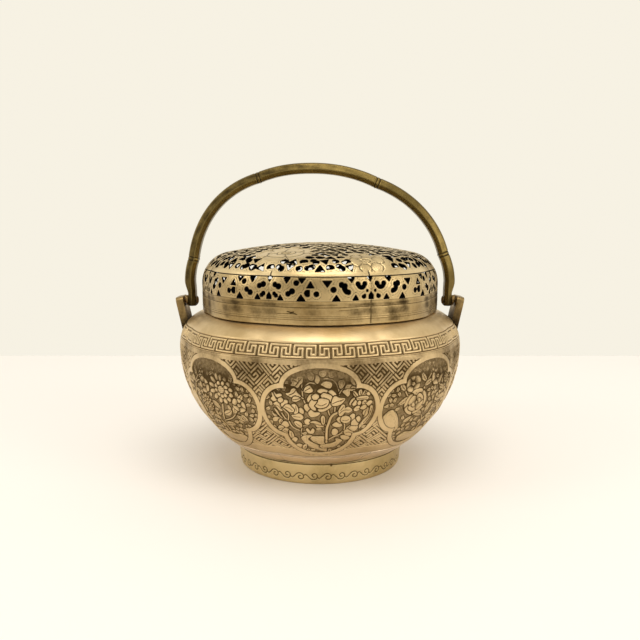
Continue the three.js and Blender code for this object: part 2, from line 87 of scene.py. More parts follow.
def metal_wear_group():
    """Rubbed brass: bright high ground, brown in every hollow and wherever shade is painted, cloudy tarnish
    and fine scratches.
    """
    tree = bpy.data.node_groups.new("rubbed_brass", "ShaderNodeTree")
    for way, kind, names in (
        ("INPUT", "NodeSocketColor", ("Polished", "Tarnished", "Patina")),
        ("INPUT", "NodeSocketFloat", ("Patina_And_Shade", "Tarnish", "Gloss")),
        ("OUTPUT", "NodeSocketColor", ("Colour",)),
        ("OUTPUT", "NodeSocketFloat", ("Roughness", "Height")),
    ):
        for name in names:
            tree.interface.new_socket(name=name, in_out=way, socket_type=kind)
    given = add_node(tree, "NodeGroupInput").outputs
    place = add_node(tree, "ShaderNodeTexCoord").outputs["Object"]

    def noise(vector, **values):
        return add_node(tree, "ShaderNodeTexNoise", {"Vector": vector, **values}).outputs["Fac"]

    def smoothstep(value, low, high):
        spread = {"Value": value, "From Min": low, "From Max": high}
        return add_node(tree, "ShaderNodeMapRange", spread, interpolation_type="SMOOTHSTEP").outputs["Result"]

    def figured(operation, *values, clamp=False):
        node = add_node(tree, "ShaderNodeMath", enumerate(values), operation=operation, use_clamp=clamp)
        return node.outputs[0]

    def mixed(factor, first, second):
        colours = {"Factor": factor, "A": first, "B": second}
        return add_node(tree, "ShaderNodeMix", colours, data_type="RGBA").outputs["Result"]

    clouds = smoothstep(noise(place, Scale=42, Detail=6, Roughness=0.62), 0.38, 0.68)
    tarnished = figured("MULTIPLY", clouds, given["Tarnish"])
    grime = figured("MULTIPLY_ADD", noise(place, Scale=900, Detail=3), 0.3, -0.15)
    sunk = smoothstep(figured("ADD", given["Patina_And_Shade"], grime, clamp=True), PATINA_SHADE_SHOWS, PATINA_SHADE_FULL)
    body = mixed(tarnished, given["Polished"], given["Tarnished"])
    stretched = add_node(tree, "ShaderNodeMapping", {"Scale": (1, 1, 9), "Vector": place}).outputs["Vector"]
    scratches = noise(stretched, Scale=420, Detail=4)
    scratched = figured("MULTIPLY_ADD", scratches, 0.22, given["Gloss"])
    add_node(tree, "NodeGroupOutput", {
        "Colour": mixed(sunk, body, given["Patina"]),
        "Roughness": figured("MULTIPLY_ADD", sunk, 0.35, scratched, clamp=True),
        "Height": figured("MULTIPLY_ADD", scratches, 0.12, noise(place, Scale=95, Detail=2)),
    })
    return tree


rubbed_brass = metal_wear_group()


def brass(name, polished, tarnished, patina, tarnish, gloss, bump):
    """A brass finish on the rubbed_brass group. Its darkening, chased patina together with painted shade,
    comes from a point attribute.
    """
    metal = bpy.data.materials.new(name)
    metal.use_nodes = True
    tree = metal.node_tree
    shader = tree.nodes["Principled BSDF"]
    shader.inputs["Metallic"].default_value = 1
    wear = add_node(tree, "ShaderNodeGroup", node_tree=rubbed_brass)
    for socket, colour in (("Polished", polished), ("Tarnished", tarnished), ("Patina", patina)):
        wear.inputs[socket].default_value = (*colour, 1)
    wear.inputs["Tarnish"].default_value = tarnish
    wear.inputs["Gloss"].default_value = gloss
    chased = add_node(tree, "ShaderNodeAttribute", attribute_name="patina_and_painted_shade")
    relief = add_node(tree, "ShaderNodeBump",
                      {"Strength": bump, "Distance": BUMP_DISTANCE, "Height": wear.outputs["Height"]})
    for source, socket in (
        (chased.outputs["Fac"], wear.inputs["Patina_And_Shade"]),
        (wear.outputs["Colour"], shader.inputs["Base Color"]),
        (wear.outputs["Roughness"], shader.inputs["Roughness"]),
        (relief.outputs["Normal"], shader.inputs["Normal"]),
    ):
        tree.links.new(source, socket)
    return metal


foot_brass = brass("foot_brass", (0.70, 0.555, 0.29), (0.50, 0.38, 0.17), BROWN_PATINA, 0.8, 0.24, 0.25)


def arc(radius, height, size, start, end, count):
    """Outline points on an arc about a centre. The turns are counted from straight below it."""
    return [(radius + size * math.sin(turn), height - size * math.cos(turn))
            for turn in np.linspace(start, end, count)]


def turned(outline, steps, sweep=2 * math.pi, start=0.0):
    """Spin an outline of (radius, height) about Z. A third value, on the chased outer side, says
    how far up it the point lies. It stays on the points as along, and skin is 1 there."""
    form = bmesh.new()
    skin = form.verts.layers.float.new("skin")
    along = form.verts.layers.float.new("along")
    ring = []
    for radius, height, *up in outline:
        vert = form.verts.new((radius * math.sin(start), -radius * math.cos(start), height))
        vert[skin] = len(up)
        vert[along] = sum(up)
        ring.append(vert)
    from_axis = outline[0][0] == 0
    pairs = list(zip(ring, ring[1:] + ring[:1]))
    for pair in pairs[:-1] if from_axis else pairs:
        form.edges.new(pair)
    full = sweep >= 2 * math.pi
    bmesh.ops.spin(form, geom=form.verts[:] + form.edges[:], axis=(0, 0, 1), angle=sweep, steps=steps,
                   use_merge=full)
    if from_axis:
        bmesh.ops.remove_doubles(form, verts=form.verts[:], dist=WELD)
    if not full:
        bmesh.ops.holes_fill(form, edges=[edge for edge in form.edges if edge.is_boundary], sides=0)
    return form


def mesh_of(name, form):
    mesh = bpy.data.meshes.new(name)
    bmesh.ops.recalc_face_normals(form, faces=form.faces[:])
    form.to_mesh(mesh)
    form.free()
    return mesh


def points_of(mesh, *layers):
    """The mesh's points and the named layers, as arrays."""
    count = len(mesh.vertices)
    place = np.empty(count * 3, np.float32)
    mesh.vertices.foreach_get("co", place)
    values = []
    for layer in layers:
        value = np.empty(count, np.float32)
        mesh.attributes[layer].data.foreach_get("value", value)
        values.append(value)
    return place.reshape(-1, 3).astype(float), values


def set_piece(name, mesh, place, patina_and_painted_shade, metal, body, nodes=(), crisp=60):
    """Put the finished points, in millimetres, and their darkening, chased patina and painted shade, on a
    mesh, and set the piece.
    """
    mesh.vertices.foreach_set("co", (place * 0.001).astype(np.float32).ravel())
    for layer in ("skin", "along"):
        if layer in mesh.attributes:
            mesh.attributes.remove(mesh.attributes[layer])
    mesh.attributes.new("patina_and_painted_shade", "FLOAT", "POINT").data.foreach_set("value", patina_and_painted_shade.astype(np.float32))
    mesh.shade_smooth()
    mesh.set_sharp_from_angle(angle=math.radians(crisp))
    mesh.materials.append(metal)
    mesh.update()
    piece = bpy.data.objects.new(name, mesh)
    bpy.context.scene.collection.objects.link(piece)
    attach(piece, body)
    if nodes:
        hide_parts(*nodes)
    return piece


def round_form(place):
    return np.hypot(place[:, 0], place[:, 1]), np.arctan2(place[:, 0], -place[:, 1])


def turned_mesh(name, outline, *spin):
    """A turned mesh, and its points' place, radius, angle, skin and along."""
    mesh = mesh_of(name, turned(outline, *spin))
    place, layers = points_of(mesh, "skin", "along")
    return mesh, place, *round_form(place), *layers


def line_distance(across, up, line):
    """Distance of every point from a line of straight runs."""
    nearest = np.full(across.shape, FAR_AWAY)
    for (x0, y0), (x1, y1) in zip(line, line[1:]):
        run_x, run_y = x1 - x0, y1 - y0
        length = max(run_x * run_x + run_y * run_y, 1e-9)
        share = np.clip(((across - x0) * run_x + (up - y0) * run_y) / length, 0, 1)
        reach = np.hypot(across - x0 - share * run_x, up - y0 - share * run_y)
        nearest = np.minimum(nearest, reach)
    return nearest


def smooth_line(marks, parts=6):
    """A flowing line through the marks."""
    ends = [marks[0]] + list(marks) + [marks[-1]]
    line = []
    for a, b, c, d in zip(ends, ends[1:], ends[2:], ends[3:]):
        for step in range(parts):
            t = step / parts
            line.append(tuple(
                0.5 * (2 * q + (r - p) * t + (2 * p - 5 * q + 4 * r - s) * t * t
                       + (3 * q - p - 3 * r + s) * t ** 3)
                for p, q, r, s in zip(a, b, c, d)
            ))
    return line + [tuple(marks[-1])]


def step_down(distance, half_width, slope):
    """1 inside a cut line, falling to 0 over its sloping sides."""
    return np.clip((half_width + slope - distance) / slope, 0, 1)


def stains(angle, height, seed):
    """Uneven staining round a turned piece, 0 to 1."""
    wave = np.sin(7 * angle + seed + 0.8 * np.sin(0.3 * height + seed))
    wave = wave + np.sin(18 * angle - 0.17 * height + 2.1 * seed)
    wave = wave + 0.7 * np.sin(41 * angle + 0.35 * height + 3.7 * seed)
    return np.clip(0.5 + 0.3 * wave, 0, 1)


foot_outline = arc(FOOT_BOTTOM_RADIUS - FOOT_ROUND, FOOT_ROUND, FOOT_ROUND, 0, math.pi / 2, 6)
foot_outline += [
    (FOOT_BOTTOM_RADIUS + (FOOT_TOP_RADIUS - FOOT_BOTTOM_RADIUS) * z / FOOT_HEIGHT, z, z)
    for z in np.linspace(FOOT_ROUND + 0.2, FOOT_HEIGHT - 0.15, 38)
]
foot_outline += [
    (FOOT_TOP_RADIUS - 0.15, FOOT_HEIGHT),
    (FOOT_TOP_RADIUS - FOOT_WALL, FOOT_HEIGHT),
    (FOOT_BOTTOM_RADIUS - FOOT_WALL, FOOT_CHAMFER),
    (FOOT_BOTTOM_RADIUS - FOOT_WALL + FOOT_CHAMFER, 0),
]
foot_mesh, place, radius, angle, skin, along = turned_mesh(
    "foot_ring_brass", foot_outline, SCROLL_WAVES * STEPS_PER_WAVE)
wave = 2 * math.pi * FOOT_BOTTOM_RADIUS / SCROLL_WAVES
across = (angle * FOOT_BOTTOM_RADIUS) % wave
cut = np.full(len(place), FAR_AWAY)
for shift in (-wave, 0, wave):
    for side in (0, 1):
        middle = wave * (0.25 + 0.5 * side) + shift
        way = 1 - 2 * side
        marks = [(middle + x, SCROLL_HEIGHT + way * y) for x, y in SCROLL_MARKS]
        cut = np.minimum(cut, line_distance(across, along, smooth_line(marks, 4)))
engraved = step_down(cut, 0.13, 0.25) * skin
edge_line = step_down(np.abs(along - (FOOT_HEIGHT - FOOT_LINE_DROP)), 0.15, 0.4) * skin
radius -= SCROLL_DEPTH * engraved + FOOT_LINE_DEPTH * edge_line
place[:, 0] = radius * np.sin(angle)
place[:, 1] = -radius * np.cos(angle)
from_blot = np.hypot(angle * FOOT_TOP_RADIUS - FOOT_BLOT[0], 0.6 * (along - FOOT_BLOT[1]))
blot = step_down(from_blot, 0.3, 0.7) * skin
stain = 0.26 * stains(angle, along, 1.0) * skin
set_piece("foot_ring_brass", foot_mesh, place,
          np.maximum.reduce([0.75 * engraved, 0.8 * edge_line, 0.9 * blot, stain]),
          foot_brass, "vessel", ("foot_ring",))


# Base band. A plain lobed strip between foot and bowl, soldered to both. A hair crack at the
# right of the front shows where its ends meet.

LOBE_COUNT = 8
LOBE_PITCH = 2 * math.pi / LOBE_COUNT
HALF_LOBE = LOBE_PITCH / 2
LOBE_OFFSET = 0.25
VALLEY_ROUND = 0.022
BELLY_RADIUS = 70
BELLY_HEIGHT = 58
BAND_BOTTOM = 10.7
BAND_TOP = 16.9
BAND_RADIUS = 42.4
BAND_WALL = 1.6
BAND_STEPS = 960
BAND_FLANGE = 1.5
BAND_FLANGE_REACH = 3
BAND_UPPER_LINE = 15.9
BAND_LOWER_LINE = 11.3
BAND_CRACK_RADIUS = 46
BAND_CRACK = ((19.2, 10.8), (20.4, 12.4), (20.1, 14.2), (21.6, 15.2), (22.4, 16.9))
BAND_CUT_DEPTH = 0.22
SHOULDER_TOP = 77.8
SHOULDER_REACH = 20
SHOULDER_FULLNESS = 2.7
BELLY_DROP = (BELLY_HEIGHT - BAND_BOTTOM) / math.sqrt(1 - (BAND_RADIUS / BELLY_RADIUS) ** 2)


def lobe_share(angle):
    """Radius at an angle from a lobe's middle, as a share of the radius at that middle."""
    turned_by = np.abs(angle - LOBE_PITCH * np.round(angle / LOBE_PITCH))
    turned_by = HALF_LOBE - np.hypot(HALF_LOBE - turned_by, VALLEY_ROUND)
    inside = (1 - LOBE_OFFSET) ** 2 - (LOBE_OFFSET * np.sin(turned_by)) ** 2
    return LOBE_OFFSET * np.cos(turned_by) + np.sqrt(inside)


def bowl_radius(height):
    """Outline of belly and shoulder at a lobe's middle."""
    if height <= BELLY_HEIGHT:
        return BELLY_RADIUS * math.sqrt(1 - ((BELLY_HEIGHT - height) / BELLY_DROP) ** 2)
    rise = (height - BELLY_HEIGHT) / (SHOULDER_TOP - BELLY_HEIGHT)
    return BELLY_RADIUS - SHOULDER_REACH * (1 - math.sqrt(1 - rise ** SHOULDER_FULLNESS))


def lobed(place, radius, angle, lobing=1.0):
    """The points at a radius that follows the eight lobes."""
    swell = 1 + lobing * (lobe_share(angle) - 1)
    return np.column_stack((radius * swell * np.sin(angle), -radius * swell * np.cos(angle), place[:, 2]))


def crease(angle, radius, half_width):
    """1 along the valleys between lobes, 0 a little way off them."""
    off = np.abs(angle - LOBE_PITCH * (np.floor(angle / LOBE_PITCH) + 0.5)) * radius
    return np.clip(1 - off / half_width, 0, 1) ** 1.5


# The band's brass is painted much paler than the bowl's: a painted reflection of the pale floor on its
# downward face.
band_brass_painted_reflection = brass("band_brass_painted_reflection", (0.92, 0.76, 0.56), (0.70, 0.55, 0.375), BROWN_PATINA, 0.7, 0.26, 0.3)

band_outline = [(bowl_radius(BAND_BOTTOM) - 0.25, BAND_BOTTOM)]
band_outline += [(bowl_radius(z), z, z) for z in np.linspace(BAND_BOTTOM + 0.2, BAND_TOP - 0.15, 24)]
band_outline += [
    (bowl_radius(BAND_TOP) - 0.25, BAND_TOP),
    (bowl_radius(BAND_TOP) - BAND_WALL, BAND_TOP),
    (bowl_radius(BAND_BOTTOM + BAND_FLANGE) - BAND_WALL, BAND_BOTTOM + BAND_FLANGE),
    (BAND_RADIUS - BAND_FLANGE_REACH, BAND_BOTTOM + BAND_FLANGE),
    (BAND_RADIUS - BAND_FLANGE_REACH, BAND_BOTTOM),
]
band_mesh, place, radius, angle, skin, along = turned_mesh("base_band_brass", band_outline, BAND_STEPS)
upper_line = step_down(np.abs(along - BAND_UPPER_LINE), 0.06, 0.3) * skin
lower_line = step_down(np.abs(along - BAND_LOWER_LINE), 0.02, 0.3) * skin
cracked = step_down(line_distance(angle * BAND_CRACK_RADIUS, along, BAND_CRACK), 0.04, 0.22) * skin
# Along the valleys between lobes the band is grooved and painted dark, partly patina and partly painted
# shade.
valley = crease(angle, radius, 0.7) * skin
cuts = np.maximum.reduce([0.8 * upper_line, 0.5 * lower_line, cracked, 0.5 * valley])
set_piece("base_band_brass", band_mesh, lobed(place, radius - BAND_CUT_DEPTH * cuts, angle),
          np.maximum(0.75 * cuts, 0.18 * stains(angle, along, 2.0) * skin),
          band_brass_painted_reflection, "vessel", ("base_band",))


# Bowl floor. The bottom of the same sheet as the belly, a shallow dish let into the base band.

FLOOR_HEIGHT = 12.5
FLOOR_EDGE_TOP = 17.3
FLOOR_WALL = 1.5
FLOOR_INSET = 1.9
FLOOR_DISC = 20
FLOOR_STEPS = 192

DARK_PATINA = (0.022, 0.014, 0.006)

dark_brass = brass("dark_brass", (0.36, 0.24, 0.10), BROWN_PATINA, DARK_PATINA, 0.9, 0.4, 0.3)

floor_outline = [(0, FLOOR_HEIGHT), (FLOOR_DISC, FLOOR_HEIGHT)]
floor_outline += [(bowl_radius(z) - FLOOR_INSET, z) for z in np.linspace(FLOOR_HEIGHT, FLOOR_EDGE_TOP, 6)]
floor_outline += [(bowl_radius(z) - FLOOR_INSET - FLOOR_WALL, z)
                  for z in np.linspace(FLOOR_EDGE_TOP, FLOOR_HEIGHT + FLOOR_WALL, 5)]
floor_outline += [(FLOOR_DISC, FLOOR_HEIGHT + FLOOR_WALL), (0, FLOOR_HEIGHT + FLOOR_WALL)]
floor_mesh, place, radius, angle, *_ = turned_mesh("bowl_floor_brass", floor_outline, FLOOR_STEPS)
set_piece("bowl_floor_brass", floor_mesh, lobed(place, radius, angle), np.full(len(place), 0.2),
          dark_brass, "vessel")


# Bowl lobes. One raised sheet from the base band over belly and shoulder to the mouth, made here
# lobe by lobe. Each lobe is chased with a quatrefoil frame that holds flowers on a sunken ground,
# with a key-fret diaper between the frames and a running fret under the shoulder.

BOWL_EDGE = 17.2
MOUTH_RADIUS = 56.9
BOWL_WALL = 1.5
LOBE_STEPS = 240
# Rows of points up to a height, then up to the mouth: closest where the chasing is.
LOBE_ROWS = ((18.7, 5), (62.4, 190), (64.8, 8), (71.2, 34))
MOUTH_ROWS = 16
FRAME_MIDDLE = 41.5
# Ovals that make up the frame: middle, height, half width as a share of the lobe, half height.
FRAME_LOBES = (
    (-0.60, FRAME_MIDDLE, 0.37, 11.8), (0.60, FRAME_MIDDLE, 0.37, 11.8), (0, 53.3, 0.60, 9.0),
    (0, 29.8, 0.62, 10.9), (0, FRAME_MIDDLE, 0.5, 9),
)
RIBBON_HALF = 0.95
GROUND = -0.62
DIAPER_BOTTOM = 21.6
DIAPER_TOP = 62.3
LOW_DIAPER = 33
GARDEN_SMOKE_SHADE_FROM = 49
GARDEN_SMOKE_SHADE_RISE = 9
SMOKE_AND_SHADE_FROM = 44
SMOKE_AND_SHADE_RISE = 14
FRET_BOTTOM = 65.6
FRET_TOP = 70.3
FRETS_PER_LOBE = 5
FRET_RADIUS = 68.5
FRET_DEPTH = 0.42
FRET_MARGIN = 0.8
FRET_LINE = 1.2
FRET_KEY = (
    (0, 4), (10, 4), (10, 1), (8, 1), (8, 3), (6, 3), (6, 0),
    (16, 0), (16, 3), (14, 3), (14, 1), (12, 1), (12, 4),
)
DIAPER_CELL = 6.0
DIAPER_SCALE = 1.22
DIAPER_BARS = (
    ((0, 0.55), (6, 0.55)),
    ((0, 1.65), (6, 1.65)),
    ((0.6, 5.45), (0.6, 2.85), (3.1, 2.85), (3.1, 4.15), (1.85, 4.15)),
    ((5.6, 2.85), (5.6, 5.45), (1.85, 5.45)),
    ((4.35, 2.85), (4.35, 4.2)),
)


def shoulder_height(radius):
    reach = 1 - (BELLY_RADIUS - radius) / SHOULDER_REACH
    return BELLY_HEIGHT + (SHOULDER_TOP - BELLY_HEIGHT) * (1 - reach ** 2) ** (1 / SHOULDER_FULLNESS)


def shape_distance(across, up, corners):
    """Distance from a closed outline, less than 0 inside it."""
    inside = np.zeros(across.shape, bool)
    for (x0, y0), (x1, y1) in zip(corners, corners[1:] + corners[:1]):
        if y0 != y1:
            beyond = across < (x1 - x0) * (up - y0) / (y1 - y0) + x0
            inside ^= ((y0 > up) != (y1 > up)) & beyond
    reach = line_distance(across, up, corners + corners[:1])
    return np.where(inside, -reach, reach)


class Chasing:
    """Flowers, leaves, stems and rocks left standing on a sunken ground, each outlined by the punch."""

    def __init__(self, across, up, ground=GROUND, line=0.15):
        self.across = across
        self.up = up
        self.ground = ground
        self.line = line
        self.depth = np.full(across.shape, float(ground))
        self.dark = np.full(across.shape, 0.5)

    def near(self, x, y, reach, lean):
        picked = np.nonzero((np.abs(self.across - x) < reach) & (np.abs(self.up - y) < reach))[0]
        right = self.across[picked] - x
        above = self.up[picked] - y
        turn = math.radians(lean)
        return (picked, right * math.cos(turn) + above * math.sin(turn),
                above * math.cos(turn) - right * math.sin(turn))

    def stand(self, picked, distance, top, cuts=0.0, rounding=0.3):
        swell = np.sqrt(np.clip(-distance / rounding, 0, 1))
        raised = self.ground + (top - self.ground) * swell - cuts * swell
        outline = np.clip(1 - np.abs(distance - self.line) / self.line, 0, 1)
        sunk = np.minimum(self.depth[picked], self.ground * (0.9 + 0.3 * outline))
        self.depth[picked] = np.where(distance < 0, raised, np.where(outline > 0, sunk, self.depth[picked]))
        shade = 0.04 + 0.6 * (1 - swell) + 2.2 * cuts * swell - 0.25 * top
        edge = np.maximum(self.dark[picked], 0.5 + 0.45 * np.sqrt(outline))
        self.dark[picked] = np.where(distance < 0, shade, np.where(outline > 0, edge, self.dark[picked]))

    def petal(self, x, y, lean, length, width, top=-0.12):
        """A petal growing from a point, widest towards its tip."""
        picked, along, aside = self.near(x, y, length + width, lean)
        share = along / length
        half = width * (0.36 + 0.24 * np.clip(share, 0, 1)) * (1 + 0.05 * np.cos(7 * share + lean))
        oval = np.hypot((share - 0.52) / (0.5 + 0.03 * np.cos(4.5 * aside / width + lean)), aside / half)
        fold = 0.09 * step_down(np.abs((oval - 0.66) * width / 2), 0.02, 0.14) * (width > 2.2) * (share > 0.4)
        root = 0.34 * np.clip(0.75 - share, 0, 1)
        self.stand(picked, (oval - 1) * min(length, width) / 2, top, fold + root)

    def within(self, marks, reach):
        xs, ys = zip(*marks)
        return np.nonzero((self.across > min(xs) - reach) & (self.across < max(xs) + reach)
                          & (self.up > min(ys) - reach) & (self.up < max(ys) + reach))[0]

    def sheet(self, *corners, top=-0.14):
        """A flat petal or leaf with an uneven edge, and a soft fold inside the larger ones."""
        outline = smooth_line(corners + corners[:1], 3)[:-1]
        picked = self.within(outline, 1)
        distance = shape_distance(self.across[picked], self.up[picked], outline) - 0.28
        broad = len(picked) > 0 and distance.min() < -1.2
        fold = 0.07 * broad * step_down(np.abs(distance + 0.75), 0.02, 0.14)
        self.stand(picked, distance, top, fold, rounding=0.26)

    def rib(self, *marks):
        picked = self.within(marks, 1)
        cut = step_down(line_distance(self.across[picked], self.up[picked], smooth_line(marks, 3)), 0.08, 0.2)
        self.depth[picked] -= 0.16 * cut
        self.dark[picked] = np.maximum(self.dark[picked], 0.68 * cut)

    def leaf(self, x, y, lean, length, width, bend=0.0, top=-0.2):
        picked, along, aside = self.near(x, y, length * 1.15, lean)
        share = np.clip(along / length, 0, 1)
        aside = aside - 4 * bend * share * (1 - share)
        half = width / 2 * np.sin(np.pi * share ** 0.85) ** 0.8 * (1 + 0.1 * np.cos(along * 5.5))
        distance = np.where((along > 0) & (along < length), np.abs(aside) - half, 1.0)
        rib = 0.24 * step_down(np.abs(aside), 0.04, 0.18)
        veins = 0.12 * (np.abs((along - 0.8 * np.abs(aside)) % 1.15 - 0.57) < 0.15) * (width > 1.6)
        self.stand(picked, distance, top, rib + veins, rounding=0.25)

    def boss(self, x, y, size, top=-0.05):
        picked, along, aside = self.near(x, y, size * 1.5 + 0.5, 30)
        dots = 0.16 * (np.sin(along * 5.2) * np.sin(aside * 5.2) < 0)
        self.stand(picked, np.hypot(along, aside) - size, top, dots)

    def blossom(self, x, y, size, rings, lean=90, boss=0.24):
        for count, start, length, width, top in rings:
            for k in range(count):
                turn = lean + 360 * k / count + (180 / count if start < 0.3 else 0)
                uneven = math.sin(12.9 * k + 7.1 * x + 3.3 * y + 5 * start)
                turn += 50 / count * uneven
                away = math.radians(turn)
                self.petal(x + start * size * math.cos(away), y + start * size * math.sin(away),
                           turn, length * size * (1 + 0.16 * uneven), width * size * (1 - 0.1 * uneven), top)
        self.boss(x, y, boss * size)

    def stem(self, *marks, width=0.72, top=-0.16):
        line = smooth_line(marks, 4)
        picked = self.within(marks, 2)
        distance = line_distance(self.across[picked], self.up[picked], line) - width / 2
        self.stand(picked, distance, top)

    def trunk(self, *marks):
        self.stem(*marks, width=1.2, top=-0.1)

    def rock(self, *corners, top=-0.08):
        """A weathered garden rock, with folds that follow its outline."""
        outline = smooth_line(corners + corners[:1], 3)[:-1]
        picked = self.within(outline, 1)
        right, above = self.across[picked], self.up[picked]
        distance = shape_distance(right, above, outline)
        wavy = distance + 0.25 * np.sin(1.7 * right + 0.9 * above) + 0.2 * np.sin(2.6 * above)
        folds = np.maximum(0.14 * step_down(np.abs(wavy + 0.8), 0.06, 0.2),
                           0.12 * step_down(np.abs(wavy + 1.9), 0.05, 0.2))
        self.stand(picked, distance, top, folds, rounding=0.4)

    def fill_in(self, spacing=2.5):
        """Leaflets wherever the ground would stay bare, each turned by a golden angle from the last."""
        for row, y in enumerate(np.arange(-24, 22, spacing)):
            for column, x in enumerate(np.arange(-23, 24, spacing)):
                x_here = x + spacing / 2 * (row % 2)
                picked = self.near(x_here, y, 0.95, 0)[0]
                if len(picked) > 20 and self.depth[picked].max() < self.ground + 0.05:
                    turn = 137.5 * (row * 19 + column)
                    away = math.radians(turn)
                    self.leaf(x_here - 1.5 * math.cos(away), y - 1.5 * math.sin(away), turn,
                              3.1, 1.6, 0.25, -0.24)


# Rings of petals: how many, where they start, length and width as shares of the size, and the top.
PEONY = ((5, 0.30, 0.78, 1.12, -0.22), (4, 0.10, 0.58, 0.84, -0.14), (2, 0.0, 0.36, 0.44, -0.06))
PLUM = ((5, 0.18, 0.82, 0.98, -0.14),)
DAISY = ((13, 0.34, 0.68, 0.30, -0.18), (9, 0.16, 0.46, 0.28, -0.08))
BUD = ((3, 0.10, 0.95, 0.9, -0.12),)

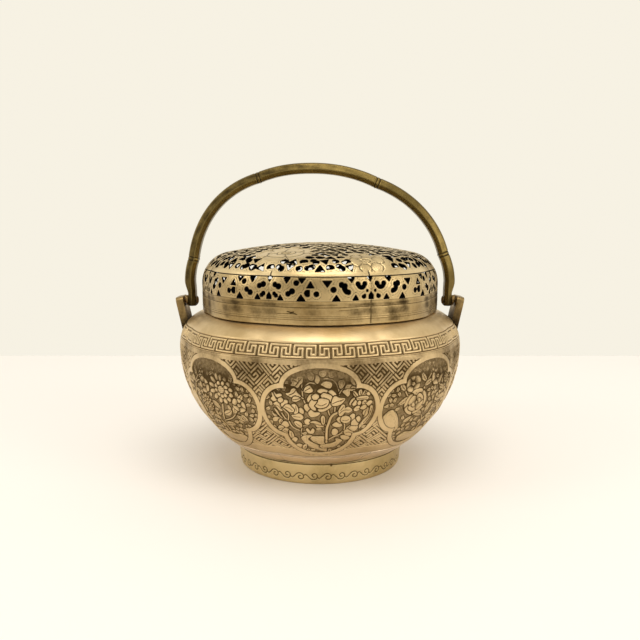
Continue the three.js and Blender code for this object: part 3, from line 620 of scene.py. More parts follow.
# Gardens, in millimetres across and up from the frame's middle. Rocks and sheets are outlines, and
# stems, trunks and ribs are lines. A leaf has its foot, lean, length, width and bend, a blossom its
# middle, size, petals, lean and boss.
FRONT_GARDEN = {
    "rock": (
        ((-8.4, -14.9), (-7, -12.8), (-4.2, -12.5), (-3.1, -13.2), (-4.8, -14.6), (-4.6, -16.3),
         (-1.9, -18.7), (0.9, -20.5), (2.8, -21.7), (2.8, -25.1), (-1.7, -23), (-5.9, -19.6)),
        ((-4.4, -14.9), (-3.4, -13.3), (-0.6, -13.2), (1.9, -13.5), (2.4, -17.5), (1.5, -19.6),
         (-0.6, -18.7), (-3.1, -17)),
        ((2.8, -18.7), (4.7, -18.3), (6, -17.5), (6.8, -16.7), (6.6, -14.9), (8.3, -15.3), (9.8, -16.7),
         (8.7, -18.3), (6.6, -20.9), (3.2, -21.7), (0.5, -21.7), (-0.2, -20)),
        ((22, 2.2), (23.1, 2.5), (23.4, 0.7), (22.4, -2.9), (20.5, -6.1), (18.4, -8.3), (17.2, -9.8),
         (16.9, -7.9), (18.2, -5.8), (19.1, -4.3), (20.8, -2.6), (21.6, -0.4)),
        ((18.4, -1.2), (19.1, 0.7), (20.5, 1.7), (21.4, 1.2), (21.2, -1.2), (20.8, -2.3), (19.1, -3.8),
         (18.9, -2.3)),
    ),
    "stem": (
        ((-8, -13.5), (-8.2, -10.4), (-10.3, -9.2), (-12.2, -7.6), (-13.7, -4.3), (-15, -3.5),
         (-16.5, -0.9)), ((-13.7, -4.3), (-13.6, -1.2), (-15.8, 1.2), (-16.8, 3.2), (-16.5, 4.7)),
        ((-8, -10.4), (-7.4, -7.3), (-5.3, -6.9)),
        ((-6.3, 4.7), (-7, 6.8), (-7.4, 9.8), (-7.6, 13), (-7.7, 16.1)),
        ((-7, 6.8), (-9.3, 8.4), (-11.4, 11)), ((-7.2, 11), (-5.9, 12.6), (-4.2, 13.9), (-1.7, 13.4)),
        ((4.5, -2), (3.8, -0.4), (3.4, 1.2)), ((5.7, -1.2), (6.2, 0.7), (6.3, 2.7)),
        ((2.9, -7.9), (1.9, -5.8), (1.3, -3.5)), ((2.6, -12.1), (1.7, -10.1)),
        ((3.2, -16), (6.2, -13.5), (8.7, -12.1), (10.4, -9.8), (12.5, -7.9), (13.8, -6.7)),
        ((10.4, -9.8), (10.6, -6.7), (9.8, -5.6)),
        ((8.1, 8.4), (7.9, 10.3), (6.8, 13.4), (5.3, 15), (3.6, 15.6), (1.5, 15.6)),
        ((8.1, 9.1), (9.5, 11.2), (11.2, 12.6)),
    ),
    "trunk": (
        ((2.8, -17.5), (2.8, -12.1), (3, -7.9), (3.8, -5.2), (4.5, -2.6), (5.7, -0.9), (7.6, 0.2),
         (9.1, 2.5)),
    ),
    "sheet": (
        ((-12, 15.8), (-10.1, 15.2), (-9.3, 16.1), (-7.4, 16.3), (-7.4, 14.1), (-8.4, 13.2), (-9.3, 11.7),
         (-10.5, 12.4), (-12.2, 12.6), (-11.4, 13.7), (-12.2, 14.5)),
        ((-13.5, 8), (-14.4, 8.7), (-12.7, 9.1), (-11.8, 10.8), (-10.5, 11), (-9.7, 9.4), (-8.2, 7.7),
         (-10.3, 7.5), (-11.8, 7.3)), ((-11.6, 5.6), (-11.2, 7.3), (-9.7, 7.5), (-8.4, 6.6), (-10.1, 5.4)),
        ((-20.9, 8.7), (-19.9, 7.7), (-19.4, 6.1), (-18.8, 5.4), (-20.1, 4.9), (-21.3, 5.9), (-20.5, 6.8)),
        ((-19.9, 9.1), (-18.8, 8), (-17.1, 8.4), (-16.5, 7.7), (-18, 6.8), (-19, 7.3)),
        ((-20.1, 3.5), (-18.6, 4.5), (-17.3, 3.7), (-17.1, 2), (-16.3, 0.4), (-17.5, 0.7), (-18.6, 2.2)),
        ((-21.1, -0.6), (-19.9, -1.5), (-18, -2.6), (-16.9, -3.5), (-19, -3.2), (-20.3, -2.3)),
        ((-19.9, 1.2), (-18.8, 0.2), (-17.5, -2.3), (-16.3, -3.5), (-18, -1.7), (-19, -0.4)),
        ((-20.7, -4.3), (-19.4, -3.2), (-17.7, -3.5), (-17.1, -4), (-18.6, -5.2), (-20.3, -5.5)),
        ((-18, -5.2), (-17.1, -4), (-16.4, -4.9), (-16.7, -6.4), (-17.5, -6.7)),
        ((-16.9, -7.6), (-15.8, -5.5), (-14.4, -5.5), (-13.5, -7.3), (-15, -8.6)),
        ((-18.4, -9.2), (-17.5, -7.9), (-15.8, -8.6), (-16.5, -10.1), (-17.7, -10.4)),
        ((-16.5, -10.7), (-15.2, -9.2), (-13.5, -10.1), (-13.1, -12.1), (-14.8, -11.8)),
        ((-13.3, -10.4), (-12.2, -11.4), (-11.4, -13.9), (-12.2, -14.9), (-13.3, -13.2)),
        ((-12.2, -16), (-11, -14.6), (-9.9, -15.6), (-10.8, -17.5)),
        ((-10.3, -20), (-8.9, -19.2), (-7.4, -20.5), (-8.2, -22.2), (-9.7, -21.3)),
        ((-7.6, -21.7), (-7, -20), (-5.9, -19.6), (-6.1, -22.2), (-7, -23)),
        ((-11, -5.2), (-9.7, -4.6), (-8, -5.8), (-8, -7.9), (-9.5, -7.6), (-10.3, -6.7)),
        ((-6.5, -4.3), (-5.3, -3.2), (-4.2, -4.3), (-4.8, -6.1), (-6.1, -5.8)),
        ((-4, -4.9), (-2.1, -4.3), (0.5, -5.8), (1.5, -7), (-1, -7.6), (-1.9, -6.1)),
        ((0.5, -2.9), (1.1, -1.5), (1.9, -2.6), (1.9, -5.2), (1.3, -6.1), (0.7, -4.6)),
        ((-5.9, -9.2), (-5.3, -8.6), (-4.1, -10.4), (-3.1, -8.6), (-2.5, -9.8), (-3.1, -11.4),
         (-4.8, -11.1)),
        ((-6.7, 10.1), (-6.1, 11.7), (-4.6, 12.6), (-3.6, 11.5), (-3.1, 10.3), (-4.8, 9.6)),
        ((-8.9, 1.7), (-8, 2.2), (-7, 0.9), (-7.2, -0.4), (-8.4, 0.2)),
        ((9.5, 9.8), (10.4, 11), (11.2, 12.6), (13.4, 12.6), (15.3, 11), (13.8, 10.1), (12.3, 10.3),
         (12.5, 8.9), (11.7, 7.7), (10.4, 8.9)),
        ((7.9, 0.7), (8.7, 2.5), (9.5, 3.7), (10.4, 3.2), (10.2, 1.7), (11.9, 2.5), (13.6, 0.9),
         (12.1, -0.1), (10.4, 0.2), (9.5, -1.2), (8.3, -1.5)),
        ((5.1, -11.1), (5.5, -9.2), (6.6, -8.9), (7.6, -10.4), (7, -12.1), (5.7, -12.5)),
        ((10.4, -10.4), (11.7, -9.5), (13.4, -9.8), (14.4, -11.8), (13.1, -13.5), (11.7, -13.5),
         (10.6, -11.8)), ((12.5, -8.9), (14.2, -7.3), (16.1, -7.6), (16.3, -9.2), (14.6, -10.7)),
        ((8.9, -13.5), (10.4, -13.2), (12.9, -14.9), (11.2, -16), (9.5, -15.3)),
        ((0.5, 13.2), (1.9, 14.3), (4.1, 14.1), (4.9, 13), (4.1, 11.7), (2.4, 12.1)),
        ((7.6, 14.1), (8.9, 15), (10.4, 13.9), (9.5, 11.9), (8.3, 11.5)),
        ((12.5, 16.1), (13.8, 15.8), (14.6, 14.1), (15, 12.4), (13.4, 13.4)),
        ((-0.2, 18.7), (1.5, 19), (2.6, 17.8), (1.5, 16.5), (0, 17)),
        ((3.6, 18.3), (5.1, 18.7), (6.2, 17.2), (5.1, 16.1), (3.8, 16.5)),
        ((7.2, 18.1), (8.9, 18.5), (10.2, 17), (8.9, 15.6), (7.6, 16.3)),
        ((-2.3, 16.7), (-1, 17), (-0.2, 15.4), (-1, 13.7), (-2.1, 14.7)),
        ((-5.5, 17.6), (-3.8, 18.1), (-2.5, 16.5), (-3.1, 15), (-4.8, 15.6)),
        ((-18, 5.9), (-16.7, 6.6), (-15.6, 5.4), (-16.5, 4.5), (-17.3, 4.5), (-18, 5.2)),
        ((-16.7, 3.7), (-15.4, 4.7), (-15, 5.6), (-13.9, 5.4), (-14.1, 4), (-15.4, 3), (-15.8, 2.2),
         (-16.5, 2.7)),
        ((-12, 3.5), (-10.8, 4), (-9.7, 2.7), (-9.3, 1.2), (-9.7, -0.4), (-11, -0.4), (-11, 1.4),
         (-11.8, 2.5)),
        ((-15.6, 2.2), (-14.4, 3.5), (-13.1, 3.5), (-12.2, 2.5), (-11.2, 1.4), (-11.4, 0.4), (-12.9, 0.2),
         (-14.1, 1.2)),
        ((-12, -1.7), (-10.1, -1.2), (-8.6, -0.6), (-7.2, -2.3), (-8, -3.5), (-9.7, -3.5), (-11.2, -2.9)),
        ((-6.5, 3.5), (-5.5, 4.2), (-4.4, 3), (-4.6, 1.7), (-5.5, 0.9), (-6.5, 2.5)),
        ((-5.3, 6.6), (-4.2, 8.4), (-2.9, 8.7), (-3.1, 7.3), (-4.6, 5.2)),
        ((-4.6, 4), (-3.6, 6.1), (-1.9, 6.6), (-1.5, 4.7), (-2.1, 3.2), (-1.9, 1.4), (-3.4, 2)),
        ((-4.8, 0.2), (-3.8, 1.4), (-2.5, 0.2), (-0.2, 0.2), (-1, -1.2), (-3.4, -2), (-4.4, -1.2)),
        ((-1, 10.3), (0, 11.2), (1.9, 11), (3.2, 10.3), (1.9, 9.6), (0, 9.6)),
        ((3.6, 10.1), (4.9, 10.5), (6.6, 8.9), (6.2, 8), (4.9, 8.4)),
        ((-3.3, 8), (-1.9, 8.9), (-0.6, 8.2), (-1, 6.8), (-2.7, 6.6)),
        ((0.5, 8.4), (1.5, 9.4), (3, 8.9), (4.3, 8.4), (5.3, 7), (5.1, 5.6), (3.6, 6.1), (1.9, 6.8),
         (0.9, 7.5)),
        ((-0.8, 2), (0.9, 2.5), (2.6, 3), (4.3, 4.7), (4.9, 3.7), (3.6, 2.2), (1.5, 0.9), (-0.2, 0.9)),
        ((-1.9, 3.5), (-0.8, 5.2), (-0.4, 6.6), (1.5, 6.8), (3.4, 6.1), (3.4, 4.7), (2.4, 3.2),
         (-0.2, 2.5)),
        ((5.3, 3.7), (4.9, 4.7), (5.7, 7.5), (6.8, 7.7), (7.9, 7), (10.4, 6.6), (9.8, 5.4), (8.7, 4.2),
         (6.6, 3.5)), ((5.3, -6.4), (6.6, -5.2), (8.3, -5.5), (9.3, -7), (7.6, -7.6), (6.2, -7.3)),
        ((7.2, -3.5), (8.1, -2.3), (9.1, -3.2), (8.7, -5.2), (7.9, -4.9)),
        ((12.7, -2.3), (13.8, -1.2), (14.8, -1.5), (14.8, -3.2), (14, -4.6), (13.1, -4.3)),
        ((13.6, -7), (13.8, -5.2), (15.3, -3.8), (16.5, -5.2), (16.5, -7), (15.3, -7.3)),
        ((8.9, -3.8), (9.5, -2.3), (11.2, -2), (12.9, -3.2), (12.5, -4.9), (10.8, -5.5), (9.5, -4.9)),
        ((14, 9.6), (14.8, 9.6), (16.3, 7.7), (15.7, 6.8), (14.4, 8.2)),
        ((16.6, 9.6), (17.5, 10.3), (18, 8.7), (17.5, 7.5), (16.7, 8.2)),
        ((18.2, 7.5), (18.6, 8.7), (19.7, 10.1), (20.3, 9.6), (19.3, 7.7)),
        ((20.1, 8.4), (21.2, 9.1), (21.8, 8), (20.8, 7.4)),
        ((12.5, 4), (13.4, 5.9), (14.6, 6.6), (14.4, 5.2), (13.4, 3.5)),
        ((13.8, 3.7), (15, 5.4), (16.1, 4.9), (15.5, 3.7), (14.4, 3)),
        ((15.7, 6.6), (17.4, 7.1), (20.1, 7), (21, 6.3), (19.9, 5.4), (18, 5.9), (16.3, 5.4)),
        ((16.1, 4.2), (16.9, 5.2), (17.6, 4.2), (16.7, 3.2)),
        ((18.4, 4.5), (19.3, 5.2), (20.1, 4.5), (19.5, 3), (18.5, 3.2)),
        ((20.1, 3.7), (21.8, 4.7), (22.9, 4), (21.2, 2.5), (19.9, 2.5)),
        ((14.6, 1.2), (15.7, 2.5), (16.7, 2.5), (17.6, 1.4), (16.3, 0.7), (15, 0.4)),
        ((17.4, 1.4), (18.6, 2.7), (19.9, 2.7), (20.1, 1.7), (18.9, 0.9)),
        ((15.7, -3.5), (16.7, -2.6), (17.6, -4), (16.7, -5.5)),
    ),
    "rib": (
        ((-7.7, 15.8), (-8.9, 14.1), (-10.1, 12.6)), ((-10.1, 10.5), (-11.2, 9.1), (-13.1, 8.2)),
        ((-11.4, 6.1), (-8.6, 6.8)), ((-19.4, 3), (-18, 2.7), (-16.7, 1.2)),
        ((-20.7, -0.9), (-18.6, -2.3), (-17.1, -3.3)), ((-17.3, -6.1), (-16.7, -4.6)),
        ((-18, -9.8), (-16.5, -8.9)), ((-15.8, -10.4), (-13.7, -11.4)), ((-12.5, -11.4), (-12.2, -13.9)),
        ((-10.3, -5.5), (-8.4, -7.3)), ((-3.4, -5.2), (0.9, -6.7)), ((1.3, -2.3), (1.4, -5.2)),
        ((-6.3, 10.3), (-4.2, 11.7)), ((-6.7, -22.2), (-6.3, -20.5)),
        ((10, 10.8), (11.7, 11.2), (14.6, 11)), ((8.3, -0.4), (10, 1.2), (12.9, 1.1)),
        ((8.7, 1.2), (10, 3)), ((11.2, -11.4), (12.5, -11.1), (13.8, -12.1)),
        ((5.1, 4.5), (7, 5.4), (10, 6.3)), ((-1, 4.2), (0.7, 3.7), (2.6, 4.7)), ((14.2, 9.4), (15.7, 7.3)),
        ((17.3, 9.6), (17.4, 8)), ((19.7, 9.6), (18.6, 7.7)), ((9.5, -4), (11, -4.3), (12.3, -3.8)),
        ((16.1, 6.3), (20.3, 6.3)), ((13.1, 4), (14.4, 5.9)), ((-15, 2.5), (-13.1, 2), (-11.8, 0.9)),
        ((-10.3, 3.2), (-9.9, 0.7)), ((15.5, 1.4), (16.7, 1.4)), ((18.9, 4), (19.5, 4.5)),
        ((-11.4, -2), (-8.4, -2.3)), ((13.4, 12.4), (12.5, 11.2)), ((-8.9, 15.6), (-8.9, 14.1)),
        ((-11.4, 15), (-9.3, 14.1)), ((19.1, -2.6), (20.1, 0.2)),
        ((22.7, 1.2), (21.6, -2.9), (19.1, -6.4)), ((1.7, -16.3), (2.8, -15.6), (3.6, -17), (2.8, -18.7)),
    ),
}
DAISY_GARDEN = {
    "rock": (
        ((14.6, -14), (13.4, -8), (15.6, -3), (18.6, 1.4), (21.6, 0.6), (23.6, -4), (21.6, -10),
         (18, -14.6)),
        ((-12, -20.6), (-9, -17.4), (-4, -18.6), (1, -17.4), (6, -19.4), (3, -23.6), (-4, -24.4),
         (-9, -23.4)),
    ),
    "stem": (
        ((-2, -18.6), (-3, -9), (-6.2, 0), (-7.4, 6)), ((-2.4, -14), (2.4, -8), (5.8, -3.4)),
        ((-3, -10), (-9.4, -7), (-14.4, -1.6)), ((16, 1), (12.4, 7.4), (6.8, 13.8)),
        ((12.6, 7), (9, 8.8), (5.4, 7.4)), ((-7, 9), (-3, 14.6), (2.4, 17.2)),
    ),
    "leaf": (
        (-4.6, -6, 150, 7, 2.9, 0.5), (-3.6, -3.4, 40, 6, 2.7, 0.4), (-2.4, -12.6, 168, 7.2, 2.9, -0.5),
        (-1, -9.6, 8, 6.4, 2.4, 0.3), (3.6, -6.4, -38, 6.4, 2.6, 0.3), (4, -4.4, 112, 5, 2.2, 0.3),
        (-11.4, -4.8, 104, 5.2, 2.4, 0.3), (-12, -5.4, 205, 6.6, 2.6, 0.3), (12.6, 7.2, 30, 6.6, 2.8, 0.4),
        (10.4, 10.4, 66, 5.6, 2.4, 0.3), (9, 11.2, 176, 5.4, 2.2, 0.3), (-2.6, 14.8, 110, 5, 2.2, 0.3),
        (-1.4, 15.6, 20, 6, 2.4, 0.3), (14.2, 3.8, 190, 5.2, 2.2, 0.3), (8.6, -12.6, 40, 5.2, 2.1, 0.3),
        (7.2, -13.4, 140, 5, 2.1, 0.3), (-15, 2, 130, 5.8, 2.4, 0.3), (-13, 10.4, 100, 5, 2.2, 0.2),
        (-17, -8.4, 60, 5, 2.2, 0.3), (10.4, -8.4, 80, 4.8, 2, 0.3),
    ),
    "blossom": (
        (5.6, -2.2, 4.6, DAISY, 90, 0.26), (-15.6, 0.4, 3.8, PLUM, 80, 0.24),
        (4.4, 7.2, 3.9, PLUM, 100, 0.24), (-7.4, 7, 7.2, DAISY, 95, 0.26), (5.8, 15, 3, PLUM, 60, 0.26),
        (-16, -12, 2.4, PLUM, 20, 0.3), (18.6, 8.6, 3.4, PLUM, 90, 0.26), (1.8, -13.6, 2.4, BUD, 120, 0.2),
    ),
}
PEONY_GARDEN = {
    "rock": (
        ((-21.6, -9), (-22.8, -4.4), (-20, -1.2), (-16.6, -3.4), (-13.6, -8), (-11.6, -13.4), (-16, -14.6)),
        ((-8, -19.6), (-5, -16.8), (1, -18.2), (6.4, -16.4), (11, -18.6), (9, -22.6), (1, -24.2),
         (-6, -23.2)),
    ),
    "stem": (
        ((3, -18), (2, -10), (-3.4, -4), (-6, 0)), ((2.2, -11), (7.6, -6), (12, 1.4), (14.4, 7)),
        ((8.4, -5), (14, -5.4), (18.4, -2)), ((-5.6, 3), (-3, 10), (1.6, 15.6)),
        ((12.4, 2), (8.4, 6), (6, 11)), ((-6.4, 2), (-12.4, 4), (-15.6, 8.4)),
    ),
    "leaf": (
        (-0.4, -7, 165, 7.4, 3, -0.5), (1.6, -6.4, 60, 6.6, 2.8, 0.4), (4, -9, -14, 7, 2.8, 0.4),
        (9.6, -3.2, 108, 6.6, 2.8, 0.4), (10.6, -1.4, 12, 7.2, 2.9, 0.4), (13.8, -5.4, -46, 5.8, 2.3, 0.3),
        (14, 5.8, 50, 6, 2.6, 0.3), (13.4, 4.6, 160, 6, 2.4, 0.3), (-4.2, 8.4, 20, 6.4, 2.6, 0.4),
        (-3.2, 10.4, 128, 6, 2.5, 0.3), (-0.6, 14, 40, 6, 2.4, 0.3), (-12.6, 4.4, 216, 6.4, 2.6, 0.4),
        (-14.8, 7.4, 128, 5.6, 2.3, 0.3), (-10.6, -10, 36, 5.4, 2.3, 0.3), (5.4, -13.4, 28, 6, 2.4, 0.3),
        (0.4, -13.6, 150, 6, 2.3, 0.3), (17, -9.4, 100, 4.8, 2.1, 0.2), (19.4, 3.6, 96, 5, 2.2, 0.2),
    ),
    "blossom": (
        (-11.2, 10.2, 4.1, PLUM, 70, 0.24), (4.8, 11.6, 4.9, PLUM, 90, 0.22),
        (18.6, -1.2, 3.6, PLUM, 60, 0.26), (-7.2, 0.8, 6.4, PEONY, 100, 0.12),
        (15.4, 9.6, 3.4, DAISY, 90, 0.28), (9.6, 0.6, 2.6, PLUM, 30, 0.3), (1.6, 16.6, 2.6, BUD, 70, 0.2),
        (12.8, -12, 2.6, PLUM, 50, 0.3),
    ),
}
GARDENS = (FRONT_GARDEN, DAISY_GARDEN, PEONY_GARDEN)
# Each lobe's garden, and -1 where it is mirrored.
LOBE_GARDENS = ((0, 1), (2, 1), (1, 1), (0, -1), (2, -1), (1, 1), (2, -1), (1, -1))


def frame_distance(share_across, height, millimetres, steepness):
    """Distance from the quatrefoil frame's middle line, less than 0 inside it."""
    nearest = np.full(height.shape, FAR_AWAY)
    for middle, level, half, rise in FRAME_LOBES:
        right = (share_across - middle) / half
        above = (height - level) / rise
        reach = np.maximum(np.hypot(right, above), 1e-6)
        slope = np.hypot(right / (half * millimetres), above / (rise * steepness)) / reach
        nearest = np.minimum(nearest, (reach - 1) / slope)
    return nearest


def diaper_depth(across, up):
    """Key-fret diaper on the slant: pairs of long bars and squared hooks, turned from cell to cell."""
    slant = (across + up) / math.sqrt(2) / DIAPER_SCALE
    other = (up - across) / math.sqrt(2) / DIAPER_SCALE
    turned_cell = (np.floor(slant / DIAPER_CELL) + np.floor(other / DIAPER_CELL)) % 2 > 0.5
    first = np.where(turned_cell, other, slant) % DIAPER_CELL
    second = np.where(turned_cell, slant, other) % DIAPER_CELL
    nearest = np.minimum.reduce([line_distance(first, second, bar) for bar in DIAPER_BARS])
    return -0.08 - 0.42 * np.clip((nearest - 0.27) / 0.16, 0, 1)


def fret_depth(turn, height):
    """Running fret between two plain lines, five hooks to a lobe."""
    column = (turn / LOBE_PITCH * FRETS_PER_LOBE * 12) % 12
    row = (height - FRET_BOTTOM) / (FRET_TOP - FRET_BOTTOM) * 4
    wide = LOBE_PITCH * FRET_RADIUS / FRETS_PER_LOBE / 12
    tall = (FRET_TOP - FRET_BOTTOM) / 4 * 1.1
    nearest = np.full(turn.shape, FAR_AWAY)
    for shift in (-12, 0):
        line = [((x + shift) * wide, y * tall) for x, y in FRET_KEY]
        nearest = np.minimum(nearest, line_distance(column * wide, row * tall, line))
    return -FRET_DEPTH * np.clip((nearest - 0.26) / 0.2, 0, 1)


belly_brass = brass("belly_brass", (0.70, 0.53, 0.295), (0.50, 0.355, 0.17), BROWN_PATINA, 0.85, 0.3, 0.3)

side_view = [(bowl_radius(z), z) for z in np.linspace(BOWL_EDGE, BELLY_HEIGHT, 300)]
side_view += [(r, shoulder_height(r)) for r in
              MOUTH_RADIUS + (BELLY_RADIUS - MOUTH_RADIUS) * np.cos(np.linspace(0, math.pi / 2, 300)[1:])]
side_view = np.array(side_view)
side_run = np.concatenate(([0], np.cumsum(np.hypot(*np.diff(side_view, axis=0).T))))
side_slope = np.gradient(side_view, side_run, axis=0)


def run_at(height):
    return float(np.interp(height, side_view[:, 1], side_run))


def side_at(run):
    return [np.interp(run, side_run, values) for values in (*side_view.T, *side_slope.T)]


rows = []
start = 0
for level, count in LOBE_ROWS:
    rows.extend(np.linspace(start, run_at(level), count)[:-1])
    start = run_at(level)
stations = np.array(rows + list(np.linspace(start, side_run[-1], MOUTH_ROWS)))
lobe_outline = [(float(r), float(z), float(s)) for r, z, s in zip(*side_at(stations)[:2], stations)]
for s in np.linspace(side_run[-1], 0, 16):
    r, z, slope_r, slope_z = side_at(s)
    inner_radius = float(r - BOWL_WALL * slope_z)
    if z > BELLY_HEIGHT:
        inner_radius = max(inner_radius, MOUTH_RADIUS)
    lobe_outline.append((inner_radius, float(z + BOWL_WALL * slope_r)))
lobe_mesh, lobe_place, lobe_radius, lobe_angle, lobe_skin, lobe_run = turned_mesh(
    "bowl_lobe", lobe_outline, LOBE_STEPS, LOBE_PITCH, -HALF_LOBE)
skin_points = np.nonzero(lobe_skin > 0.5)[0]
run = lobe_run[skin_points]
turn = lobe_angle[skin_points]
outline_radius, height, slope_r, slope_z = side_at(run)
across = turn * outline_radius
up = run - run_at(FRAME_MIDDLE)
share_across = turn / HALF_LOBE
from_frame = frame_distance(share_across, height, HALF_LOBE * outline_radius, 1 / np.maximum(slope_z, 0.3))
from_crease = np.where(turn > 0, turn - HALF_LOBE, turn + HALF_LOBE) * outline_radius
from_ribbon = np.abs(from_frame) - RIBBON_HALF
ledge = np.clip((0.22 - from_ribbon) / 0.22, 0, 1) * (height < DIAPER_TOP + 1)
frame_edge = np.clip(1.2 - np.abs(from_ribbon - 0.3) / 0.27, 0, 1) * (height < DIAPER_TOP)
common = np.zeros(len(skin_points))
shade = np.full(len(skin_points), 0.04)
outside = (from_frame > 0) & (height > DIAPER_BOTTOM) & (height < DIAPER_TOP)
common[outside] = diaper_depth(from_crease[outside], up[outside])
shade[outside] = 0.12 + 1.15 * np.clip(-common[outside] - 0.1, 0, 0.55)
beyond_fret = np.maximum(FRET_BOTTOM - height, height - FRET_TOP)
fret = fret_depth(turn, height) * np.clip((FRET_MARGIN - beyond_fret) / 0.18, 0, 1)
fret_line = step_down(np.abs(beyond_fret - FRET_LINE), 0.03, 0.2) * (beyond_fret > 0)
common += fret
common -= 0.16 * fret_line
# The plain band under the fret is painted a little darker, partly tarnish and partly painted shade.
plain_band = (height > DIAPER_TOP) & (height < FRET_BOTTOM - 0.9)
shade = np.maximum.reduce([shade, 1.6 * np.abs(fret), 0.5 * fret_line, 0.16 * plain_band])
# Low on the belly the diaper is painted a quarter darker: painted shade set against the floor's bright
# reflection there.
shade[outside & (height < LOW_DIAPER)] *= 1.25
# Smoke and painted shade: the upper belly is darkened towards the fret, more towards each lobe's sides,
# partly smoke stain and partly painted shade for a darker reflection.
smoke_and_painted_shade = np.clip((height - SMOKE_AND_SHADE_FROM) / SMOKE_AND_SHADE_RISE, 0, 1) * np.clip((FRET_BOTTOM - 0.4 - height) / 1.2, 0, 1)
inside = np.nonzero((from_frame < 0) & (height < DIAPER_TOP + 1))[0]
# In the gardens the same darkening rises towards the top, partly smoke and partly painted shade, and the
# darkest tone is held lighter there so the contrast falls.
garden_smoke_and_shade = np.clip((height[inside] - GARDEN_SMOKE_SHADE_FROM) / GARDEN_SMOKE_SHADE_RISE, 0, 1)
darkest = np.full(len(skin_points), 0.8)
darkest[inside] = 1 - 0.4 * garden_smoke_and_shade

for number, (garden, facing) in enumerate(LOBE_GARDENS):
    chasing = Chasing(across[inside] * facing, up[inside])
    for kind in ("stem", "rock", "trunk", "leaf", "sheet", "blossom", "rib"):
        for planted in GARDENS[garden].get(kind, ()):
            getattr(chasing, kind)(*planted)
    chasing.fill_in()
    depth = common.copy()
    depth[inside] = chasing.depth
    depth *= 1 - ledge
    dark = shade.copy()
    dark[inside] = 1.12 * chasing.dark + 0.26 * garden_smoke_and_shade
    dark = np.maximum(dark * (1 - ledge) + 0.05 * ledge, 0.8 * frame_edge)
    clouds = stains(turn + number * LOBE_PITCH, height, 0.6)
    dark += smoke_and_painted_shade * (0.05 + 0.3 * clouds + 0.2 * np.abs(share_across) ** 2)
    dark = np.minimum(dark, darkest)
    place = lobe_place.copy()
    radius = lobe_radius.copy()
    radius[skin_points] += depth * slope_z
    place[skin_points, 2] -= depth * slope_r
    patina_and_painted_shade = np.full(len(place), 0.6)
    patina_and_painted_shade[skin_points] = dark
    set_piece(f"bowl_lobe_{number + 1}", lobe_mesh.copy(),
              lobed(place, radius, lobe_angle + number * LOBE_PITCH), patina_and_painted_shade,
              belly_brass, "vessel")
bpy.data.meshes.remove(lobe_mesh)
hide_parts("body_bowl")


# Neck collar. A lobed brass strip soldered inside the mouth of the bowl, which the lid slides over.

NECK_RADIUS = 56.6
NECK_WALL = 1.4
NECK_BOTTOM = 69.89
NECK_TOP = 85.89
NECK_STEPS = 576

neck_brass = brass("neck_brass", (0.40, 0.27, 0.115), BROWN_PATINA, DARK_PATINA, 0.7, 0.3, 0.25)

neck_inner = NECK_RADIUS - NECK_WALL
neck_outline = [(NECK_RADIUS, z) for z in np.linspace(NECK_BOTTOM + 0.2, NECK_TOP - 0.25, 12)]
neck_outline += [(NECK_RADIUS - 0.25, NECK_TOP), (neck_inner + 0.25, NECK_TOP)]
neck_outline += [(neck_inner, z) for z in np.linspace(NECK_TOP - 0.25, NECK_BOTTOM + 0.2, 6)]
neck_outline += [(neck_inner + 0.2, NECK_BOTTOM), (NECK_RADIUS - 0.2, NECK_BOTTOM)]
neck_mesh, place, radius, angle, *_ = turned_mesh("neck_collar_brass", neck_outline, NECK_STEPS)
slide_marks = 0.25 + 0.2 * np.sin(angle * 9) * np.sin(angle * 23)
set_piece("neck_collar_brass", neck_mesh, lobed(place, radius, angle), slide_marks,
          neck_brass, "vessel", ("neck_collar",))


# Ember pan. A beaten copper liner for charcoal and ash that hangs on the neck by its rolled rim:
# a wall, round at the foot and lobed at the rim, and a dished floor let into it.

PAN_FLOOR = 34
PAN_CURVE_TOP = 69.89
PAN_FOOT_RADIUS = 44
PAN_TOP_RADIUS = 54.9
PAN_WALL = 1
PAN_RIM_UNDER = 86.19
PAN_RIM_TOP = 86.99
PAN_RIM_OVERHANG = 1.1
PAN_LIP_ROUND = 0.4
PAN_FLOOR_EDGE = 4
PAN_TURN = 2
PAN_GAP = 0.3
PAN_DISC = 20
PAN_STEPS = 384

sooty_copper = brass("sooty_copper", (0.12, 0.056, 0.03), (0.05, 0.032, 0.022), (0.010, 0.009, 0.009),
                     0.9, 0.42, 0.5)


def pan_share(height):
    """How far up the pan's curved wall a height lies, 0 to 1."""
    return np.clip((height - PAN_FLOOR) / (PAN_CURVE_TOP - PAN_FLOOR), 0, 1)


def pan_radius(height):
    return PAN_FOOT_RADIUS + (PAN_TOP_RADIUS - PAN_FOOT_RADIUS) * np.sin(pan_share(height) * math.pi / 2)


def pan_piece(name, outline, node):
    """A piece of the pan, sootier inside the middle of its wall than outside."""
    mesh, place, radius, angle, *_ = turned_mesh(name, outline, PAN_STEPS)
    height = place[:, 2]
    soot = np.where(radius < pan_radius(height) - PAN_WALL / 2, 0.95, 0.55)
    set_piece(name, mesh, lobed(place, radius, angle, pan_share(height)), soot,
              sooty_copper, "vessel", (node,))


rise = np.linspace(PAN_FLOOR, PAN_CURVE_TOP, 30)
wall_outline = [(pan_radius(z), z) for z in rise] + [(PAN_TOP_RADIUS, PAN_RIM_UNDER)]
wall_outline += arc(PAN_TOP_RADIUS + PAN_RIM_OVERHANG - PAN_LIP_ROUND, (PAN_RIM_UNDER + PAN_RIM_TOP) / 2,
                    PAN_LIP_ROUND, 0, math.pi, 9)
wall_outline += [(PAN_TOP_RADIUS - PAN_WALL + 0.3, PAN_RIM_TOP),
                 (PAN_TOP_RADIUS - PAN_WALL, PAN_RIM_TOP - 0.3)]
wall_outline += [(pan_radius(z) - PAN_WALL, z) for z in rise[::-1]]
pan_piece("ember_pan_wall", wall_outline, "ember_pan")

